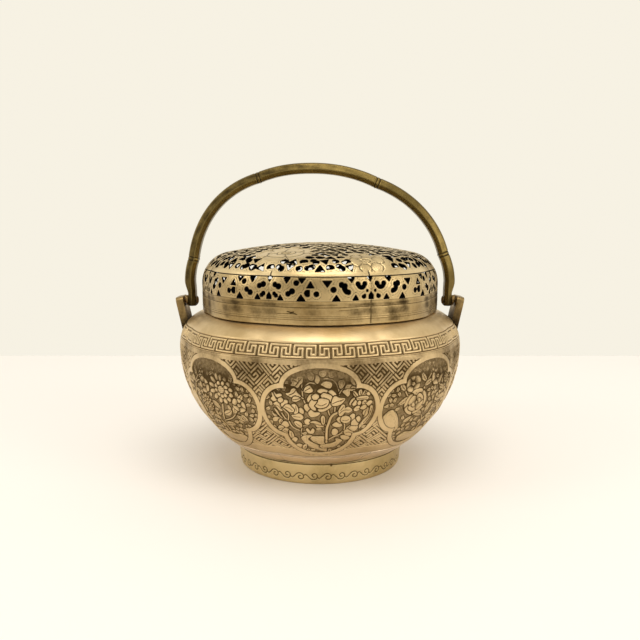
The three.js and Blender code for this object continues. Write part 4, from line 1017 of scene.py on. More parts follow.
seat = PAN_WALL + PAN_GAP
turn_middle = pan_radius(PAN_FLOOR) - seat - PAN_TURN
flange = pan_radius(PAN_FLOOR + PAN_FLOOR_EDGE) - seat
edge_top = PAN_FLOOR + PAN_FLOOR_EDGE - 0.2
pan_floor_outline = [(0, PAN_FLOOR), (PAN_DISC, PAN_FLOOR)]
pan_floor_outline += arc(turn_middle, PAN_FLOOR + PAN_TURN, PAN_TURN, 0, math.pi / 2, 8)
pan_floor_outline += [(flange, edge_top), (flange - PAN_WALL, edge_top)]
pan_floor_outline += arc(turn_middle, PAN_FLOOR + PAN_TURN, PAN_TURN - PAN_WALL, math.pi / 2, 0, 6)
pan_floor_outline += [(PAN_DISC, PAN_FLOOR + PAN_WALL), (0, PAN_FLOOR + PAN_WALL)]
pan_piece("ember_pan_floor", pan_floor_outline, "pan_floor")


# Lid rim. The plain lower half of the lid's side, lobed like the bowl, that slides over the neck.
# A turned line runs round it, with a fine one under the gallery and three above its lower edge.

LID_RADIUS = 58.4
LID_WALL = 1.3
LID_BOTTOM = 77.14
RIM_SHELF = 82
GALLERY_BOTTOM = 87.2
# Turned lines: height, strength, half width and slope.
RIM_LINES = ((84.7, 0.8, 0.04, 0.22), (86.5, 0.25, 0.06, 0.3), (81.1, 0.4, 0.06, 0.3),
             (80.3, 0.5, 0.06, 0.3), (79.4, 0.55, 0.06, 0.3))
RIM_CUT_DEPTH = 0.2
RIM_STEPS = 576
RIM_LIP = 79.3
RIM_LIP_DEPTH = 0.12
UPPER_DARK_BAND = 85.6
LOWER_DARK_BAND = 82.6
BRIGHT_LOWER_EDGE = 77.5
RIM_KNOCKS = (((-14.2, 83.0), (-12.6, 82.5), (-11.2, 82.9)), ((-12.9, 82.1), (-11.4, 82.3), (-10.3, 81.8)))
RIM_SCRATCHES = ((8, 83.4, 9), (-19, 81.9, 6), (15, 82.2, 5), (-4, 85.7, 11), (17, 85.4, 7))

rim_brass = brass("rim_brass", (0.52, 0.38, 0.18), (0.27, 0.18, 0.07), (0.045, 0.028, 0.01), 0.95, 0.2, 0.3)

rim_outline = [(LID_RADIUS - 0.2, LID_BOTTOM)]
rim_outline += [(LID_RADIUS, z, z) for z in np.linspace(LID_BOTTOM + 0.2, GALLERY_BOTTOM, 66)]
rim_outline += [(LID_RADIUS - LID_WALL, z) for z in (GALLERY_BOTTOM, RIM_SHELF, LID_BOTTOM)]
rim_mesh, place, radius, angle, skin, along = turned_mesh("lid_rim", rim_outline, RIM_STEPS)
across = angle * LID_RADIUS
rim_lines = np.maximum.reduce([
    strength * step_down(np.abs(along - level), half_width, slope)
    for level, strength, half_width, slope in RIM_LINES
])
knocks = [line_distance(across, along, marks) for marks in RIM_KNOCKS]
knocks += [line_distance(across, along, [(x, y), (x + length, y + 0.15)]) + 0.12
           for x, y, length in RIM_SCRATCHES]
# The valleys between lobes are grooved and painted dark, most at the valley right of the front: partly patina
# and partly painted shade.
kinked = 0.45 + 0.2 * np.exp(-((angle - HALF_LOBE) / 0.1) ** 2)
cuts = np.maximum.reduce([
    rim_lines, 0.9 * step_down(np.minimum.reduce(knocks), 0.1, 0.25), kinked * crease(angle, radius, 1.1),
]) * skin
lower_lip = RIM_LIP_DEPTH * np.clip((RIM_LIP - along) / 0.2, 0, 1) * skin
# Painted on the rim: soft patches, partly stain and partly painted reflection; painted shade growing towards
# both sides of the front; two darker bands; and a brighter strip along the lower edge.
sides = np.clip(np.abs(angle + 0.1) - 0.35, 0, 0.4)
stain_and_painted_reflection = (0.36 + 0.6 * sides) * stains(angle, 0.9 * along, 4.2)
stain_and_painted_reflection += 0.22 * step_down(np.abs(along - UPPER_DARK_BAND), 0.4, 0.6)
stain_and_painted_reflection += 0.16 * step_down(np.abs(along - LOWER_DARK_BAND), 0.8, 1)
stain_and_painted_reflection *= np.clip((along - BRIGHT_LOWER_EDGE) / 0.7, 0, 1)
set_piece("lid_rim", rim_mesh, lobed(place, radius - RIM_CUT_DEPTH * cuts - lower_lip, angle),
          np.where(radius < LID_RADIUS - LID_WALL / 2, 0.9, np.maximum(cuts, stain_and_painted_reflection)),
          rim_brass, "lid")


# Lid gallery. The pierced strip above the rim, which rounds over towards the crown. Its scrolls
# are left standing between sawn holes, and a line follows every hole.

SHEET_WALL = 0.7
HOLE_FIELD = 3.0
HOLE_LINE = 1.05
SLOPE_STEP = 0.02
ON_BORDER = 0.05
LID_EDGE_CENTRE = (43.4, 90.58)
LID_EDGE_ROUND = 15
LID_CAP_RADIUS = 230
LID_APEX = 110
LID_EDGE_TURN = math.asin(LID_EDGE_CENTRE[0] / (LID_CAP_RADIUS - LID_EDGE_ROUND))
LID_UPRIGHT = LID_EDGE_CENTRE[1] - GALLERY_BOTTOM
LID_EDGE_RUN = LID_EDGE_ROUND * (math.pi / 2 - LID_EDGE_TURN)
LID_RUN = LID_UPRIGHT + LID_EDGE_RUN + LID_CAP_RADIUS * LID_EDGE_TURN
GALLERY_TURN_IN = math.radians(27)
GALLERY_RUN = LID_UPRIGHT + LID_EDGE_ROUND * GALLERY_TURN_IN
GALLERY_STEPS = (1180, 34)
LOBE_ARC = LOBE_PITCH * LID_RADIUS
# Holes of one lobe: kind, place across and up, lean, width and height.
GALLERY_HOLES = (
    ("wedge", -14.6, 8.9, 180, 3.2, 2.5), ("round", -10.2, 7.9, 0, 2.3, 2.3),
    ("wedge", -7.8, 8.9, 180, 3.3, 2.4), ("wedge", -4.1, 7.2, 0, 3.0, 2.7),
    ("wedge", 3.1, 7.4, 180, 3.6, 2.6), ("round", 5.7, 5.1, 0, 2.4, 2.4),
    ("round", 9.2, 7.1, 0, 2.3, 2.3), ("bean", 11.1, 5.1, -62, 5.6, 2.4),
    ("wedge", 13.8, 9.1, 180, 3.2, 2.2), ("crescent", 18.3, 6.5, 0, 5.3, 3.9),
    ("bulbs", -19.2, 6.6, -22, 4.3, 2.4), ("wedge", 22.93, 9.3, 180, 2.4, 1.9),
    ("wedge", -22.93, 9.2, 180, 2.5, 2.1), ("house", 22.93, 2.3, 0, 2.4, 3.2),
    ("house", -22.93, 2.2, 0, 2.2, 3.1), ("bulbs", -19.9, 2.7, -42, 2.9, 1.8),
    ("wedge", -17.4, 1.5, 0, 2.8, 2.3), ("bulbs", -12.9, 3.8, 32, 4.6, 2.4),
    ("wedge", -8.1, 1.6, 0, 3.7, 2.7), ("half", -4.9, 3.6, 180, 2.4, 2.9),
    ("round", -1.5, 3.3, 0, 2.2, 2.2), ("wedge", 6.9, 1.5, 0, 3.5, 2.6),
    ("wedge", 15.5, 1.5, 0, 2.8, 2.3), ("bean", 19.5, 1.9, 30, 2.4, 1.6),
    ("round", 21.0, 4.3, 0, 1.1, 1.1),
)


def bowed(end, bend):
    """A line between two ends that sags by twice the bend."""
    return smooth_line([(share * end, rise * bend) for share, rise in
                        ((-1, 1), (-0.6, -0.5), (0, -1), (0.6, -0.5), (1, 1))], 3)


def hole_reach(kind, right, above, wide, tall):
    """Distance from the edge of one sawn hole, less than 0 inside it. The last kind is a crescent."""
    if kind == "wedge":
        corners = [(-wide / 2, -tall / 2), (wide / 2, -tall / 2), (0, tall / 2 - 0.15)]
        return shape_distance(right, above, corners) - 0.16
    if kind == "house":
        half, rise = wide / 2, tall / 2
        return shape_distance(right, above, [(-half, -rise), (half, -rise), (half, 0), (0, rise), (-half, 0)])
    if kind == "round":
        return np.hypot(right, above) - wide / 2
    if kind == "half":
        return np.maximum(np.hypot(right - 0.3, above) - tall / 2, -0.5 - right)
    end = (wide - tall) / 2
    if kind == "bulbs":
        ends = np.minimum(np.hypot(right - end, above) - tall / 2, np.hypot(right + end, above) - 0.45 * tall)
        return np.minimum(ends, line_distance(right, above, [(-end, 0), (end, 0)]) - 0.24 * tall)
    if kind == "bean":
        return line_distance(right, above, bowed(end, 0.08 * wide)) - 0.42 * tall
    end = wide / 2 - 1
    thick = line_distance(right, above, bowed(end, 0.2 * tall)) - 0.85
    for side in (-1, 1):
        thick = np.minimum(thick, np.hypot(right - side * end, above - 0.2 * tall) - 1.05)
    return thick


def holes_distance(points, holes):
    """Distance of flat points from the nearest of the holes, up to HOLE_FIELD."""
    nearest = np.full(len(points), HOLE_FIELD)
    for kind, x, y, lean, wide, tall in holes:
        reach = max(wide, tall) / 2 + 2
        picked = np.nonzero((np.abs(points[:, 0] - x) < reach) & (np.abs(points[:, 1] - y) < reach))[0]
        if len(picked) == 0:
            continue
        right, above = points[picked, 0] - x, points[picked, 1] - y
        turn = math.radians(lean)
        found = hole_reach(kind, right * math.cos(turn) + above * math.sin(turn),
                           above * math.cos(turn) - right * math.sin(turn), wide, tall)
        nearest[picked] = np.minimum(nearest[picked], found)
    return nearest


def saw_out(form, holes, fixed):
    """Take the holes out of a flat sheet, draw the cut edge onto their outlines and give the sheet
    a wall of 1 below. Points for which fixed is true stay on the sheet's border."""
    middles = np.array([face.calc_center_median()[:2] for face in form.faces])
    faces = form.faces[:]
    lost = [faces[i] for i in np.nonzero(holes_distance(middles, holes) < 0)[0]]
    while lost:
        bmesh.ops.delete(form, geom=lost, context="FACES")
        pinched = [vert for vert in form.verts if sum(edge.is_boundary for edge in vert.link_edges) > 2]
        lost = list({vert.link_faces[0] for vert in pinched})
    loose = set(form.verts)
    held = [vert for vert in form.verts if fixed(vert.co)]
    loose.difference_update(held)
    while held:
        held = [other for vert in held for edge in vert.link_edges
                for other in (edge.other_vert(vert),) if other in loose and not loose.discard(other)]
    bmesh.ops.delete(form, geom=list(loose), context="VERTS")
    rim = [vert for vert in form.verts if vert.is_boundary and not fixed(vert.co)]
    spot = np.array([vert.co[:2] for vert in rim])
    for _ in range(3):
        reach = holes_distance(spot, holes)
        slope = np.column_stack([
            holes_distance(spot + step, holes) - holes_distance(spot - step, holes)
            for step in SLOPE_STEP * np.eye(2)
        ])
        slope /= np.maximum(np.linalg.norm(slope, axis=1, keepdims=True), 1e-6)
        spot -= slope * np.clip(reach, -0.3, 0.3)[:, None]
    for vert, (x, y) in zip(rim, spot):
        vert.co.x, vert.co.y = x, y
    bmesh.ops.recalc_face_normals(form, faces=form.faces[:])
    if form.faces[:][0].normal.z < 0:
        bmesh.ops.reverse_faces(form, faces=form.faces[:])
    bmesh.ops.solidify(form, geom=form.faces[:], thickness=1)


def lid_skin(run):
    """Radius, height and outward direction of the lid, at a run up from the gallery's foot."""
    lean = np.clip((run - LID_UPRIGHT) / LID_EDGE_ROUND, 0, math.pi / 2 - LID_EDGE_TURN)
    left = np.clip((LID_RUN - run) / LID_CAP_RADIUS, 0, LID_EDGE_TURN)
    on_cap = run > LID_UPRIGHT + LID_EDGE_RUN
    lean = np.where(on_cap, math.pi / 2 - left, lean)
    radius = np.where(on_cap, LID_CAP_RADIUS * np.sin(left),
                      LID_EDGE_CENTRE[0] + LID_EDGE_ROUND * np.cos(lean))
    height = np.where(on_cap, LID_APEX - LID_CAP_RADIUS * (1 - np.cos(left)),
                      LID_EDGE_CENTRE[1] + LID_EDGE_ROUND * np.sin(lean) + np.minimum(run - LID_UPRIGHT, 0))
    return radius, height, np.cos(lean), np.sin(lean)


def lay_on_lid(angle, run, sunk):
    radius, height, out, upwards = lid_skin(run)
    radius = (radius - sunk * out) * lobe_share(angle)
    return np.column_stack((radius * np.sin(angle), -radius * np.cos(angle), height - sunk * upwards))


def sawn_finish(points, below, holes):
    """Depth and darkness of a pierced sheet: softened edges, a line round each hole, a bright ring that is
    partly polish and partly painted highlight, and painted shade on each hole's cut wall.
    """
    reach = holes_distance(points, holes)
    line = np.clip(1 - np.abs(reach - HOLE_LINE) / 0.2, 0, 1)
    polish_and_highlight_ring = np.clip(1 - np.abs(reach - 0.6) / 0.35, 0, 1)
    sunk = np.where(below, 0, 0.13 * np.clip(1 - reach / 0.3, 0, 1) + 0.14 * line)
    # The bright ring is partly polish and partly painted highlight, and each hole's cut wall is painted dark
    # as shade in the hole.
    dark = np.maximum.reduce([0.2 * (1 - polish_and_highlight_ring), 0.7 * line, 0.92 * (np.abs(reach) < 0.06)])
    return sunk, np.where(below, 1.0, dark)


SOOT_BLACK = (0.008, 0.007, 0.007)

pierced_brass = brass("pierced_brass", (0.62, 0.47, 0.24), (0.40, 0.285, 0.13), SOOT_BLACK, 0.85, 0.24, 0.3)

gallery_holes = [
    (kind, x * facing + (lobe - 3.5) * LOBE_ARC, y, lean * facing, wide, tall)
    for lobe, facing in enumerate((1, -1) * (LOBE_COUNT // 2))
    for kind, x, y, lean, wide, tall in GALLERY_HOLES
]
gallery_length = LOBE_COUNT * LOBE_ARC
gallery_form = bmesh.new()
bmesh.ops.create_grid(gallery_form, x_segments=GALLERY_STEPS[0], y_segments=GALLERY_STEPS[1], size=0.5)
bmesh.ops.scale(gallery_form, verts=gallery_form.verts, vec=(gallery_length, GALLERY_RUN, 1))
bmesh.ops.translate(gallery_form, verts=gallery_form.verts, vec=(0, GALLERY_RUN / 2, 0))
saw_out(gallery_form, gallery_holes, lambda spot: (
    abs(spot.x) > gallery_length / 2 - ON_BORDER or not ON_BORDER <= spot.y <= GALLERY_RUN - ON_BORDER))
gallery_mesh = mesh_of("lid_gallery", gallery_form)
place, _ = points_of(gallery_mesh)
angle, run = place[:, 0] / LID_RADIUS - HALF_LOBE, place[:, 1]
below = np.abs(place[:, 2]) > 0.5
sunk, dark = sawn_finish(place[:, :2], below, gallery_holes)
edge = np.minimum(run, GALLERY_RUN - run)
dark = np.maximum(dark * np.clip((edge - 0.4) / 0.3, 0, 1), 0.9 * np.clip(1 - edge / 0.2, 0, 1))
# Along each valley between lobes the sheet is grooved and painted dark, partly patina and partly painted
# shade.
valley = crease(angle, LID_RADIUS, 0.8)
set_piece("lid_gallery", gallery_mesh,
          lay_on_lid(angle, run, sunk + SHEET_WALL * below + 0.15 * valley * ~below),
          np.maximum(np.where(below, 1, dark), 0.5 * valley),
          pierced_brass, "lid", ("lid_band",))


# Lid crown. The shallow pierced dome, made in four quarters. Rings of sawn holes surround chased
# flowers that stay whole, and a plain bright border meets the gallery at a dark seam.

CROWN_REACH = LID_RUN - GALLERY_RUN - 0.25
CROWN_STEPS = 180
CROWN_BORDER = 57.6
FIRST_RING = 2.1
CROWN_RINGS = 12
RING_PITCH = 4.2
HOLE_PITCH = 4.6
# Holes of the rings in turn: kind, lean, width and height.
CROWN_KINDS = (
    ("wedge", 0, 4.1, 3.6), ("bulbs", 30, 4.9, 3.0), ("wedge", 180, 3.8, 3.5), ("half", 90, 3.4, 3.7),
    ("bean", -30, 4.7, 3.2), ("round", 0, 3.0, 3.0), ("bulbs", -36, 4.8, 3.0),
)
SIX_PETALS = ((6, 0.34, 0.66, 0.62, -0.04),)
# Flowers that stay whole: place, size, petals and lean.
CROWN_FLOWERS = (
    (-15.5, -35.4, 11.6, PEONY, 84), (15.5, 35.4, 11.6, PEONY, 264), (21, -46.3, 8.6, SIX_PETALS, 96),
    (-21, 46.3, 8.6, SIX_PETALS, 276), (0, 0, 8.2, DAISY, 90),
)
FLOWER_GROUND = -0.3
FLOWER_LINE = 0.28
FLOWER_BOSS = 0.16
FLOWER_CLEAR = 1.5

crown_brass = brass("crown_brass", (0.76, 0.60, 0.34), (0.50, 0.37, 0.18), SOOT_BLACK, 0.85, 0.24, 0.3)

crown_holes = []
for ring in range(CROWN_RINGS):
    reach = CROWN_BORDER - FIRST_RING - ring * RING_PITCH
    count = round(2 * math.pi * reach / HOLE_PITCH)
    for step in range(count):
        turn = 2 * math.pi * (step + 0.5 * (ring % 2)) / count
        wander = math.sin(step * 2.4 + ring * 1.7)
        x = (reach + 0.35 * wander) * math.sin(turn)
        y = -(reach + 0.35 * wander) * math.cos(turn)
        kind, lean, wide, tall = CROWN_KINDS[(step * 3 + ring * 2) % len(CROWN_KINDS)]
        if all(math.hypot(x - fx, y - fy) > size + FLOWER_CLEAR for fx, fy, size, _, _ in CROWN_FLOWERS):
            crown_holes.append((kind, x, y, math.degrees(turn) + lean + 14 * wander, wide, tall))

for quarter in range(4):
    form = bmesh.new()
    bmesh.ops.create_grid(form, x_segments=CROWN_STEPS, y_segments=CROWN_STEPS, size=0.5)
    bmesh.ops.translate(form, verts=form.verts, vec=(0.5, 0.5, 0))
    turn = Matrix.Rotation(quarter * math.pi / 2, 4, "Z")
    for vert in form.verts:
        a, b = vert.co.x, vert.co.y
        reach = CROWN_REACH * max(a, b)
        swing = 0 if reach == 0 else math.pi / 4 * (b / a if a > b else 2 - a / b)
        vert.co = turn @ Vector((reach * math.cos(swing), reach * math.sin(swing), 0))
    saw_out(form, crown_holes,
            lambda spot: min(abs(spot.x), abs(spot.y)) < 0.01 or spot.length > CROWN_REACH - ON_BORDER)
    mesh = mesh_of(f"lid_crown_{quarter + 1}", form)
    place, _ = points_of(mesh)
    below = np.abs(place[:, 2]) > 0.5
    sunk, dark = sawn_finish(place[:, :2], below, crown_holes)
    for x, y, size, rings, lean in CROWN_FLOWERS:
        near = np.nonzero((np.hypot(place[:, 0] - x, place[:, 1] - y) < size * 1.08) & ~below)[0]
        chasing = Chasing(place[near, 0], place[near, 1], FLOWER_GROUND, FLOWER_LINE)
        chasing.blossom(x, y, size, rings, lean, FLOWER_BOSS)
        bare = chasing.depth == FLOWER_GROUND
        sunk[near] = np.where(bare, sunk[near], -chasing.depth)
        dark[near] = np.where(bare, dark[near], 0.7 * chasing.dark)
    reach, angle = round_form(place)
    border = np.clip((reach - CROWN_BORDER) / 0.4, 0, 1)
    seam = np.clip((reach - CROWN_REACH + 0.3) / 0.25, 0, 1)
    line = step_down(np.abs(reach - CROWN_BORDER - 0.2), 0.05, 0.25) * ~below
    # Near the border the valleys between lobes are grooved and painted dark, partly patina and partly painted
    # shade.
    valley = crease(angle, LID_RADIUS, 0.9) * ~below * np.clip((reach - CROWN_BORDER + 2.5) / 3, 0, 1)
    dark = np.where(below, 1, dark * (1 - border) + 0.85 * seam)
    sunk = sunk * (1 - border * ~below) + 0.1 * line + 0.06 * valley + SHEET_WALL * below
    set_piece(f"lid_crown_{quarter + 1}", mesh, lay_on_lid(angle, LID_RUN - reach, sunk),
              np.maximum.reduce([dark, 0.35 * line, 0.9 * valley]), crown_brass, "lid",
              ("lid_crown",) if quarter == 0 else ())


# Bail handle. One forged brass bar of bamboo form, round outside and flat inside, that swings on
# the two pivots. Its ends are filed flat outside and bored for the pins.

HANDLE_HALF_SPAN = 64.4
HANDLE_SPRING = 85
HANDLE_TOP = 145.4
HANDLE_LEAN = -4.9
HANDLE_POWER = 2 / 2.2
HANDLE_FOOT = 78.6
HANDLE_HALF_WIDTH = 3.75
HANDLE_INNER = 2.3
HANDLE_OUTER = 2.9
HANDLE_MEAN_HALF = 3.2
HANDLE_STEPS = 640
HANDLE_BACK = 2.05
HANDLE_BACK_RISE = 0.75
HANDLE_BEVEL = 1.55
BAMBOO_NODES = (0.11, 0.364, 0.644, 0.878)
NODE_SWELL = 0.12
NODE_LINE = 0.8
NODE_LINE_DEPTH = 0.24
PIVOT_HEIGHT = 81.2
ARM_FACE = 65.7
ARM_BORE = 1.5
FILING_END = 70.2
FILING_RADII = (4.8, 16)
BORE_SPAN = (55, 75)

bail_brass = brass("bail_brass", (0.21, 0.15, 0.048), (0.095, 0.066, 0.019), (0.03, 0.02, 0.008),
                   0.8, 0.24, 0.1)

turns = np.linspace(0, math.pi, 2001)
lift = np.sin(turns) ** HANDLE_POWER
lift[-1] = 0
across_arch = -np.sign(np.cos(turns)) * np.abs(np.cos(turns)) ** HANDLE_POWER * HANDLE_HALF_SPAN
arch = np.column_stack((across_arch + HANDLE_LEAN * lift ** 2,
                        HANDLE_SPRING + (HANDLE_TOP - HANDLE_SPRING) * lift))
bail_path = np.vstack(([(-HANDLE_HALF_SPAN, HANDLE_FOOT)], arch, [(HANDLE_HALF_SPAN, HANDLE_FOOT)]))
bail_run = np.concatenate(([0], np.cumsum(np.hypot(*np.diff(bail_path, axis=0).T))))
half_flat = 0.7 * HANDLE_HALF_WIDTH
arris = 0.25 * HANDLE_INNER
section = [(half_flat * (1 - 2 * t), -HANDLE_INNER) for t in np.linspace(0.03, 0.97, 7)]
section += [(-half_flat - (HANDLE_HALF_WIDTH - half_flat) * t, -HANDLE_INNER + (HANDLE_INNER - arris) * t)
            for t in np.linspace(0.06, 0.95, 6)]
section += [(-HANDLE_HALF_WIDTH + HANDLE_BEVEL * t, -arris + (HANDLE_OUTER - 0.55 + arris) * t)
            for t in np.linspace(0.05, 0.92, 7)]
section += [(-HANDLE_BACK * math.cos(a), HANDLE_OUTER - HANDLE_BACK_RISE + HANDLE_BACK_RISE * math.sin(a))
            for a in np.linspace(0.35, math.pi / 2, 5)]
mirrored = [(-y, n) for y, n in section[:6:-1]]
section = np.array(section + mirrored[1:] + section[:1])


def bail_point(run):
    return np.column_stack([np.interp(run, bail_run, bail_path[:, i]) for i in (0, 1)])


bail_form = bmesh.new()
skin_layer = bail_form.verts.layers.float.new("skin")
along_layer = bail_form.verts.layers.float.new("along")
bmesh.ops.create_grid(bail_form, x_segments=HANDLE_STEPS, y_segments=len(section) - 1, size=0.5)
bmesh.ops.translate(bail_form, verts=bail_form.verts, vec=(0.5, 0.5, 0))
spot = np.array([vert.co[:2] for vert in bail_form.verts])
run = spot[:, 0] * bail_run[-1]
row = np.rint(spot[:, 1] * (len(section) - 1)).astype(int)
middle = bail_point(run)
heading = bail_point(run + 0.8) - bail_point(run - 0.8)
heading /= np.linalg.norm(heading, axis=1, keepdims=True)
outward = np.column_stack((-heading[:, 1], heading[:, 0]))
swell = np.zeros(len(run))
cuts = np.zeros(len(run))
joints = np.array([0.02, *BAMBOO_NODES, 0.98]) * bail_run[-1]
gap = np.clip(np.searchsorted(joints, run), 1, len(joints) - 1)
within = np.clip((run - joints[gap - 1]) / (joints[gap] - joints[gap - 1]), 0, 1)
bow = (0.85 * np.sin(np.pi * within) ** 0.8 - 0.4) * np.clip((middle[:, 1] - HANDLE_SPRING) / 6, 0, 1)
for node in BAMBOO_NODES:
    off = run - node * bail_run[-1]
    swell += NODE_SWELL * np.exp(-(off / 1.7) ** 2)
    for line in (-NODE_LINE, NODE_LINE):
        cuts = np.maximum(cuts, step_down(np.abs(off - line), 0.14, 0.3))
size = 1 + (swell - NODE_LINE_DEPTH * cuts) / HANDLE_MEAN_HALF
across = section[row, 0] * size
depth = section[row, 1] * size + bow
bent = np.column_stack((middle[:, 0] + outward[:, 0] * depth, across, middle[:, 1] + outward[:, 1] * depth))
for vert, co, outer, at in zip(bail_form.verts, bent, section[row, 1], run):
    vert.co = co
    vert[skin_layer] = outer
    vert[along_layer] = at
bmesh.ops.remove_doubles(bail_form, verts=bail_form.verts[:], dist=WELD)
bmesh.ops.holes_fill(bail_form, edges=[edge for edge in bail_form.edges if edge.is_boundary], sides=0)
bail_mesh = mesh_of("bail_handle_brass", bail_form)
place, (outer, at) = points_of(bail_mesh, "skin", "along")
ends = np.clip((HANDLE_SPRING + 4 - place[:, 2]) / 10, 0, 1)
nearest_node = np.min([np.abs(at - node * bail_run[-1]) for node in BAMBOO_NODES], axis=0)
node_marks = 0.75 * step_down(np.abs(nearest_node - NODE_LINE), 0.1, 0.2)
node_marks += 0.2 * np.clip(1 - nearest_node / 4, 0, 1)
# Painted shade on the broad facet, darker on the left arm and lighter on the right, with streaks in the
# patina; the edges are worn bright and painted as a highlight.
broad = (outer > -0.4) & (outer < 2.4)
streaks = 0.07 * np.sin(at * 0.31 + 2 * outer) + 0.05 * np.sin(at * 0.83 + 1.3)
facet_shade_and_streaks = np.where(broad, 0.36, 0.14) + streaks + 0.16 * np.clip(-place[:, 0] / 30, -1, 1) * broad
worn_and_highlit_edges = np.exp(-((outer + 0.55) / 0.22) ** 2) + np.exp(-((outer - 2.6) / 0.35) ** 2)
facet_shade_and_streaks = np.clip(facet_shade_and_streaks - 0.5 * worn_and_highlit_edges, 0, 1)
bail = set_piece("bail_handle_brass", bail_mesh, place,
                 np.maximum.reduce([node_marks, 0.6 * ends, facet_shade_and_streaks]),
                 bail_brass, "handle", ("bail_handle",), crisp=38)


def cut_from(piece, form):
    """Take a solid form away from a finished piece for good."""
    mesh = bpy.data.meshes.new("cutter")
    bmesh.ops.scale(form, verts=form.verts, vec=(0.001, 0.001, 0.001))
    form.to_mesh(mesh)
    form.free()
    cutter = bpy.data.objects.new("cutter", mesh)
    bpy.context.scene.collection.objects.link(cutter)
    cut = piece.modifiers.new("cut", "BOOLEAN")
    cut.object = cutter
    cut.operation = "DIFFERENCE"
    cut.solver = "EXACT"
    done = bpy.data.meshes.new_from_object(piece.evaluated_get(bpy.context.evaluated_depsgraph_get()))
    piece.modifiers.clear()
    piece.data = done
    bpy.data.objects.remove(cutter)


def on_pivot_line(form, start, end, start_radius, end_radius, segments):
    """A round solid along X at the pivots' height, from one X to another."""
    turn = Matrix.Rotation(math.pi / 2 if start < end else -math.pi / 2, 4, "Y")
    place = Matrix.Translation(((start + end) / 2, 0, PIVOT_HEIGHT)) @ turn
    bmesh.ops.create_cone(form, cap_ends=True, segments=segments, radius1=start_radius, radius2=end_radius,
                          depth=abs(end - start), matrix=place)


for start, end, start_radius, end_radius, segments in (
    (ARM_FACE, FILING_END, *FILING_RADII, 48), (*BORE_SPAN, ARM_BORE, ARM_BORE, 40),
):
    cutter_form = bmesh.new()
    for side in (-1, 1):
        on_pivot_line(cutter_form, side * start, side * end, start_radius, end_radius, segments)
    cut_from(bail, cutter_form)


# Lugs. Two flat cast ears that lean outwards, their feet shaped to the shoulder and soldered to
# it. The edges are filed round, and the colour is darker towards their feet, where they meet the shoulder.

LUG_EDGE = 0.00035
LUG_FILED_FROM = 0.078

lug_brass = brass("lug_brass", (0.36, 0.25, 0.105), (0.15, 0.095, 0.038), DARK_PATINA, 0.9, 0.26, 0.4)

for side in ("left", "right"):
    lug_form = bmesh.new()
    lug_form.from_mesh(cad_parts[f"lug_{side}"].data)
    bmesh.ops.remove_doubles(lug_form, verts=lug_form.verts[:], dist=0.00001)
    bmesh.ops.dissolve_limit(lug_form, angle_limit=math.radians(3), verts=lug_form.verts[:],
                             edges=lug_form.edges[:])
    filed = [edge for edge in lug_form.edges
             if len(edge.link_faces) == 2 and edge.calc_face_angle() > math.radians(50)
             and min(vert.co.z for vert in edge.verts) > LUG_FILED_FROM]
    bmesh.ops.bevel(lug_form, geom=filed, offset=LUG_EDGE, segments=3, profile=0.5, affect="EDGES",
                    material=-1, clamp_overlap=True)
    bmesh.ops.scale(lug_form, verts=lug_form.verts, vec=(1000, 1000, 1000))
    lug_mesh = mesh_of(f"lug_{side}_brass", lug_form)
    place, _ = points_of(lug_mesh)
    # Darker towards the feet, where the lugs meet the shoulder.
    grime = np.clip((79 - place[:, 2]) / 6, 0.12, 0.7)
    set_piece(f"lug_{side}_brass", lug_mesh, place, grime, lug_brass, "vessel",
              (f"lug_{side}",), crisp=35)


# Pivot pins and washers. Each pin has a domed head inside the arm and is filed flush outside the
# lug. The washer between arm and lug is dressed to the lug's lean.

PIN_RADIUS = 1.2
PIN_HEAD_RADIUS = 2.1
PIN_HEAD_HEIGHT = 0.9
PIN_HEAD_FACE = 61.8
PIN_END = 70.99
WASHER_RADIUS = 2.5
WASHER_BORE = 1.45
WASHER_FACE = 66
LUG_FACE = 67.56
LUG_GAP = 0.3
LUG_LEAN = math.radians(12)

length = PIN_END - PIN_HEAD_FACE
pin_outline = [(PIN_HEAD_RADIUS * math.sin(a), -PIN_HEAD_HEIGHT * math.cos(a))
               for a in np.linspace(0, math.pi / 2, 10)]
pin_outline += [(PIN_RADIUS, 0), (PIN_RADIUS, length - 0.2), (PIN_RADIUS - 0.15, length), (0, length)]
washer_outline = [(WASHER_BORE, 0), (WASHER_RADIUS - 0.15, 0), (WASHER_RADIUS, 0.15), (WASHER_RADIUS, 0.9),
                  (WASHER_RADIUS - 0.1, 1), (WASHER_BORE, 1)]


def on_pivot(side, name, outline, steps, face, reach, grime):
    """Lay a small turned piece along the pivots' line, with its foot at a face of the arm."""
    way = -1 if side == "left" else 1
    mesh, place, radius, *_ = turned_mesh(f"{name}_{side}_brass", outline, steps)
    place = np.column_stack((way * (face + place[:, 2] * reach(place)), way * place[:, 0],
                             PIVOT_HEIGHT + place[:, 1]))
    set_piece(f"{name}_{side}_brass", mesh, place, grime(radius), dark_brass, "vessel",
              (f"{name}_{side}",), crisp=40)


for side in ("left", "right"):
    on_pivot(side, "pivot_pin", pin_outline, 40, PIN_HEAD_FACE, lambda place: 1,
             lambda radius: np.clip(radius / PIN_HEAD_RADIUS - 0.45, 0.1, 0.8))
    on_pivot(side, "pivot_washer", washer_outline, 48, WASHER_FACE,
             lambda place: LUG_FACE - LUG_GAP - WASHER_FACE + place[:, 1] * math.tan(LUG_LEAN),
             lambda radius: np.full(len(radius), 0.3))


# Stage: a pale floor that ends behind the piece, soft lamps above it and a cream background.

FLOOR_COLOUR = (0.93, 0.885, 0.82, 1)
BACKGROUND = (0.93, 0.885, 0.77, 1)
ROOM_COLOUR = (1, 0.97, 0.92, 1)
FLOOR_FAR_EDGE = 0.263
FLOOR_HALF = 2
LAMP_AIM = (0, 0, 0.06)

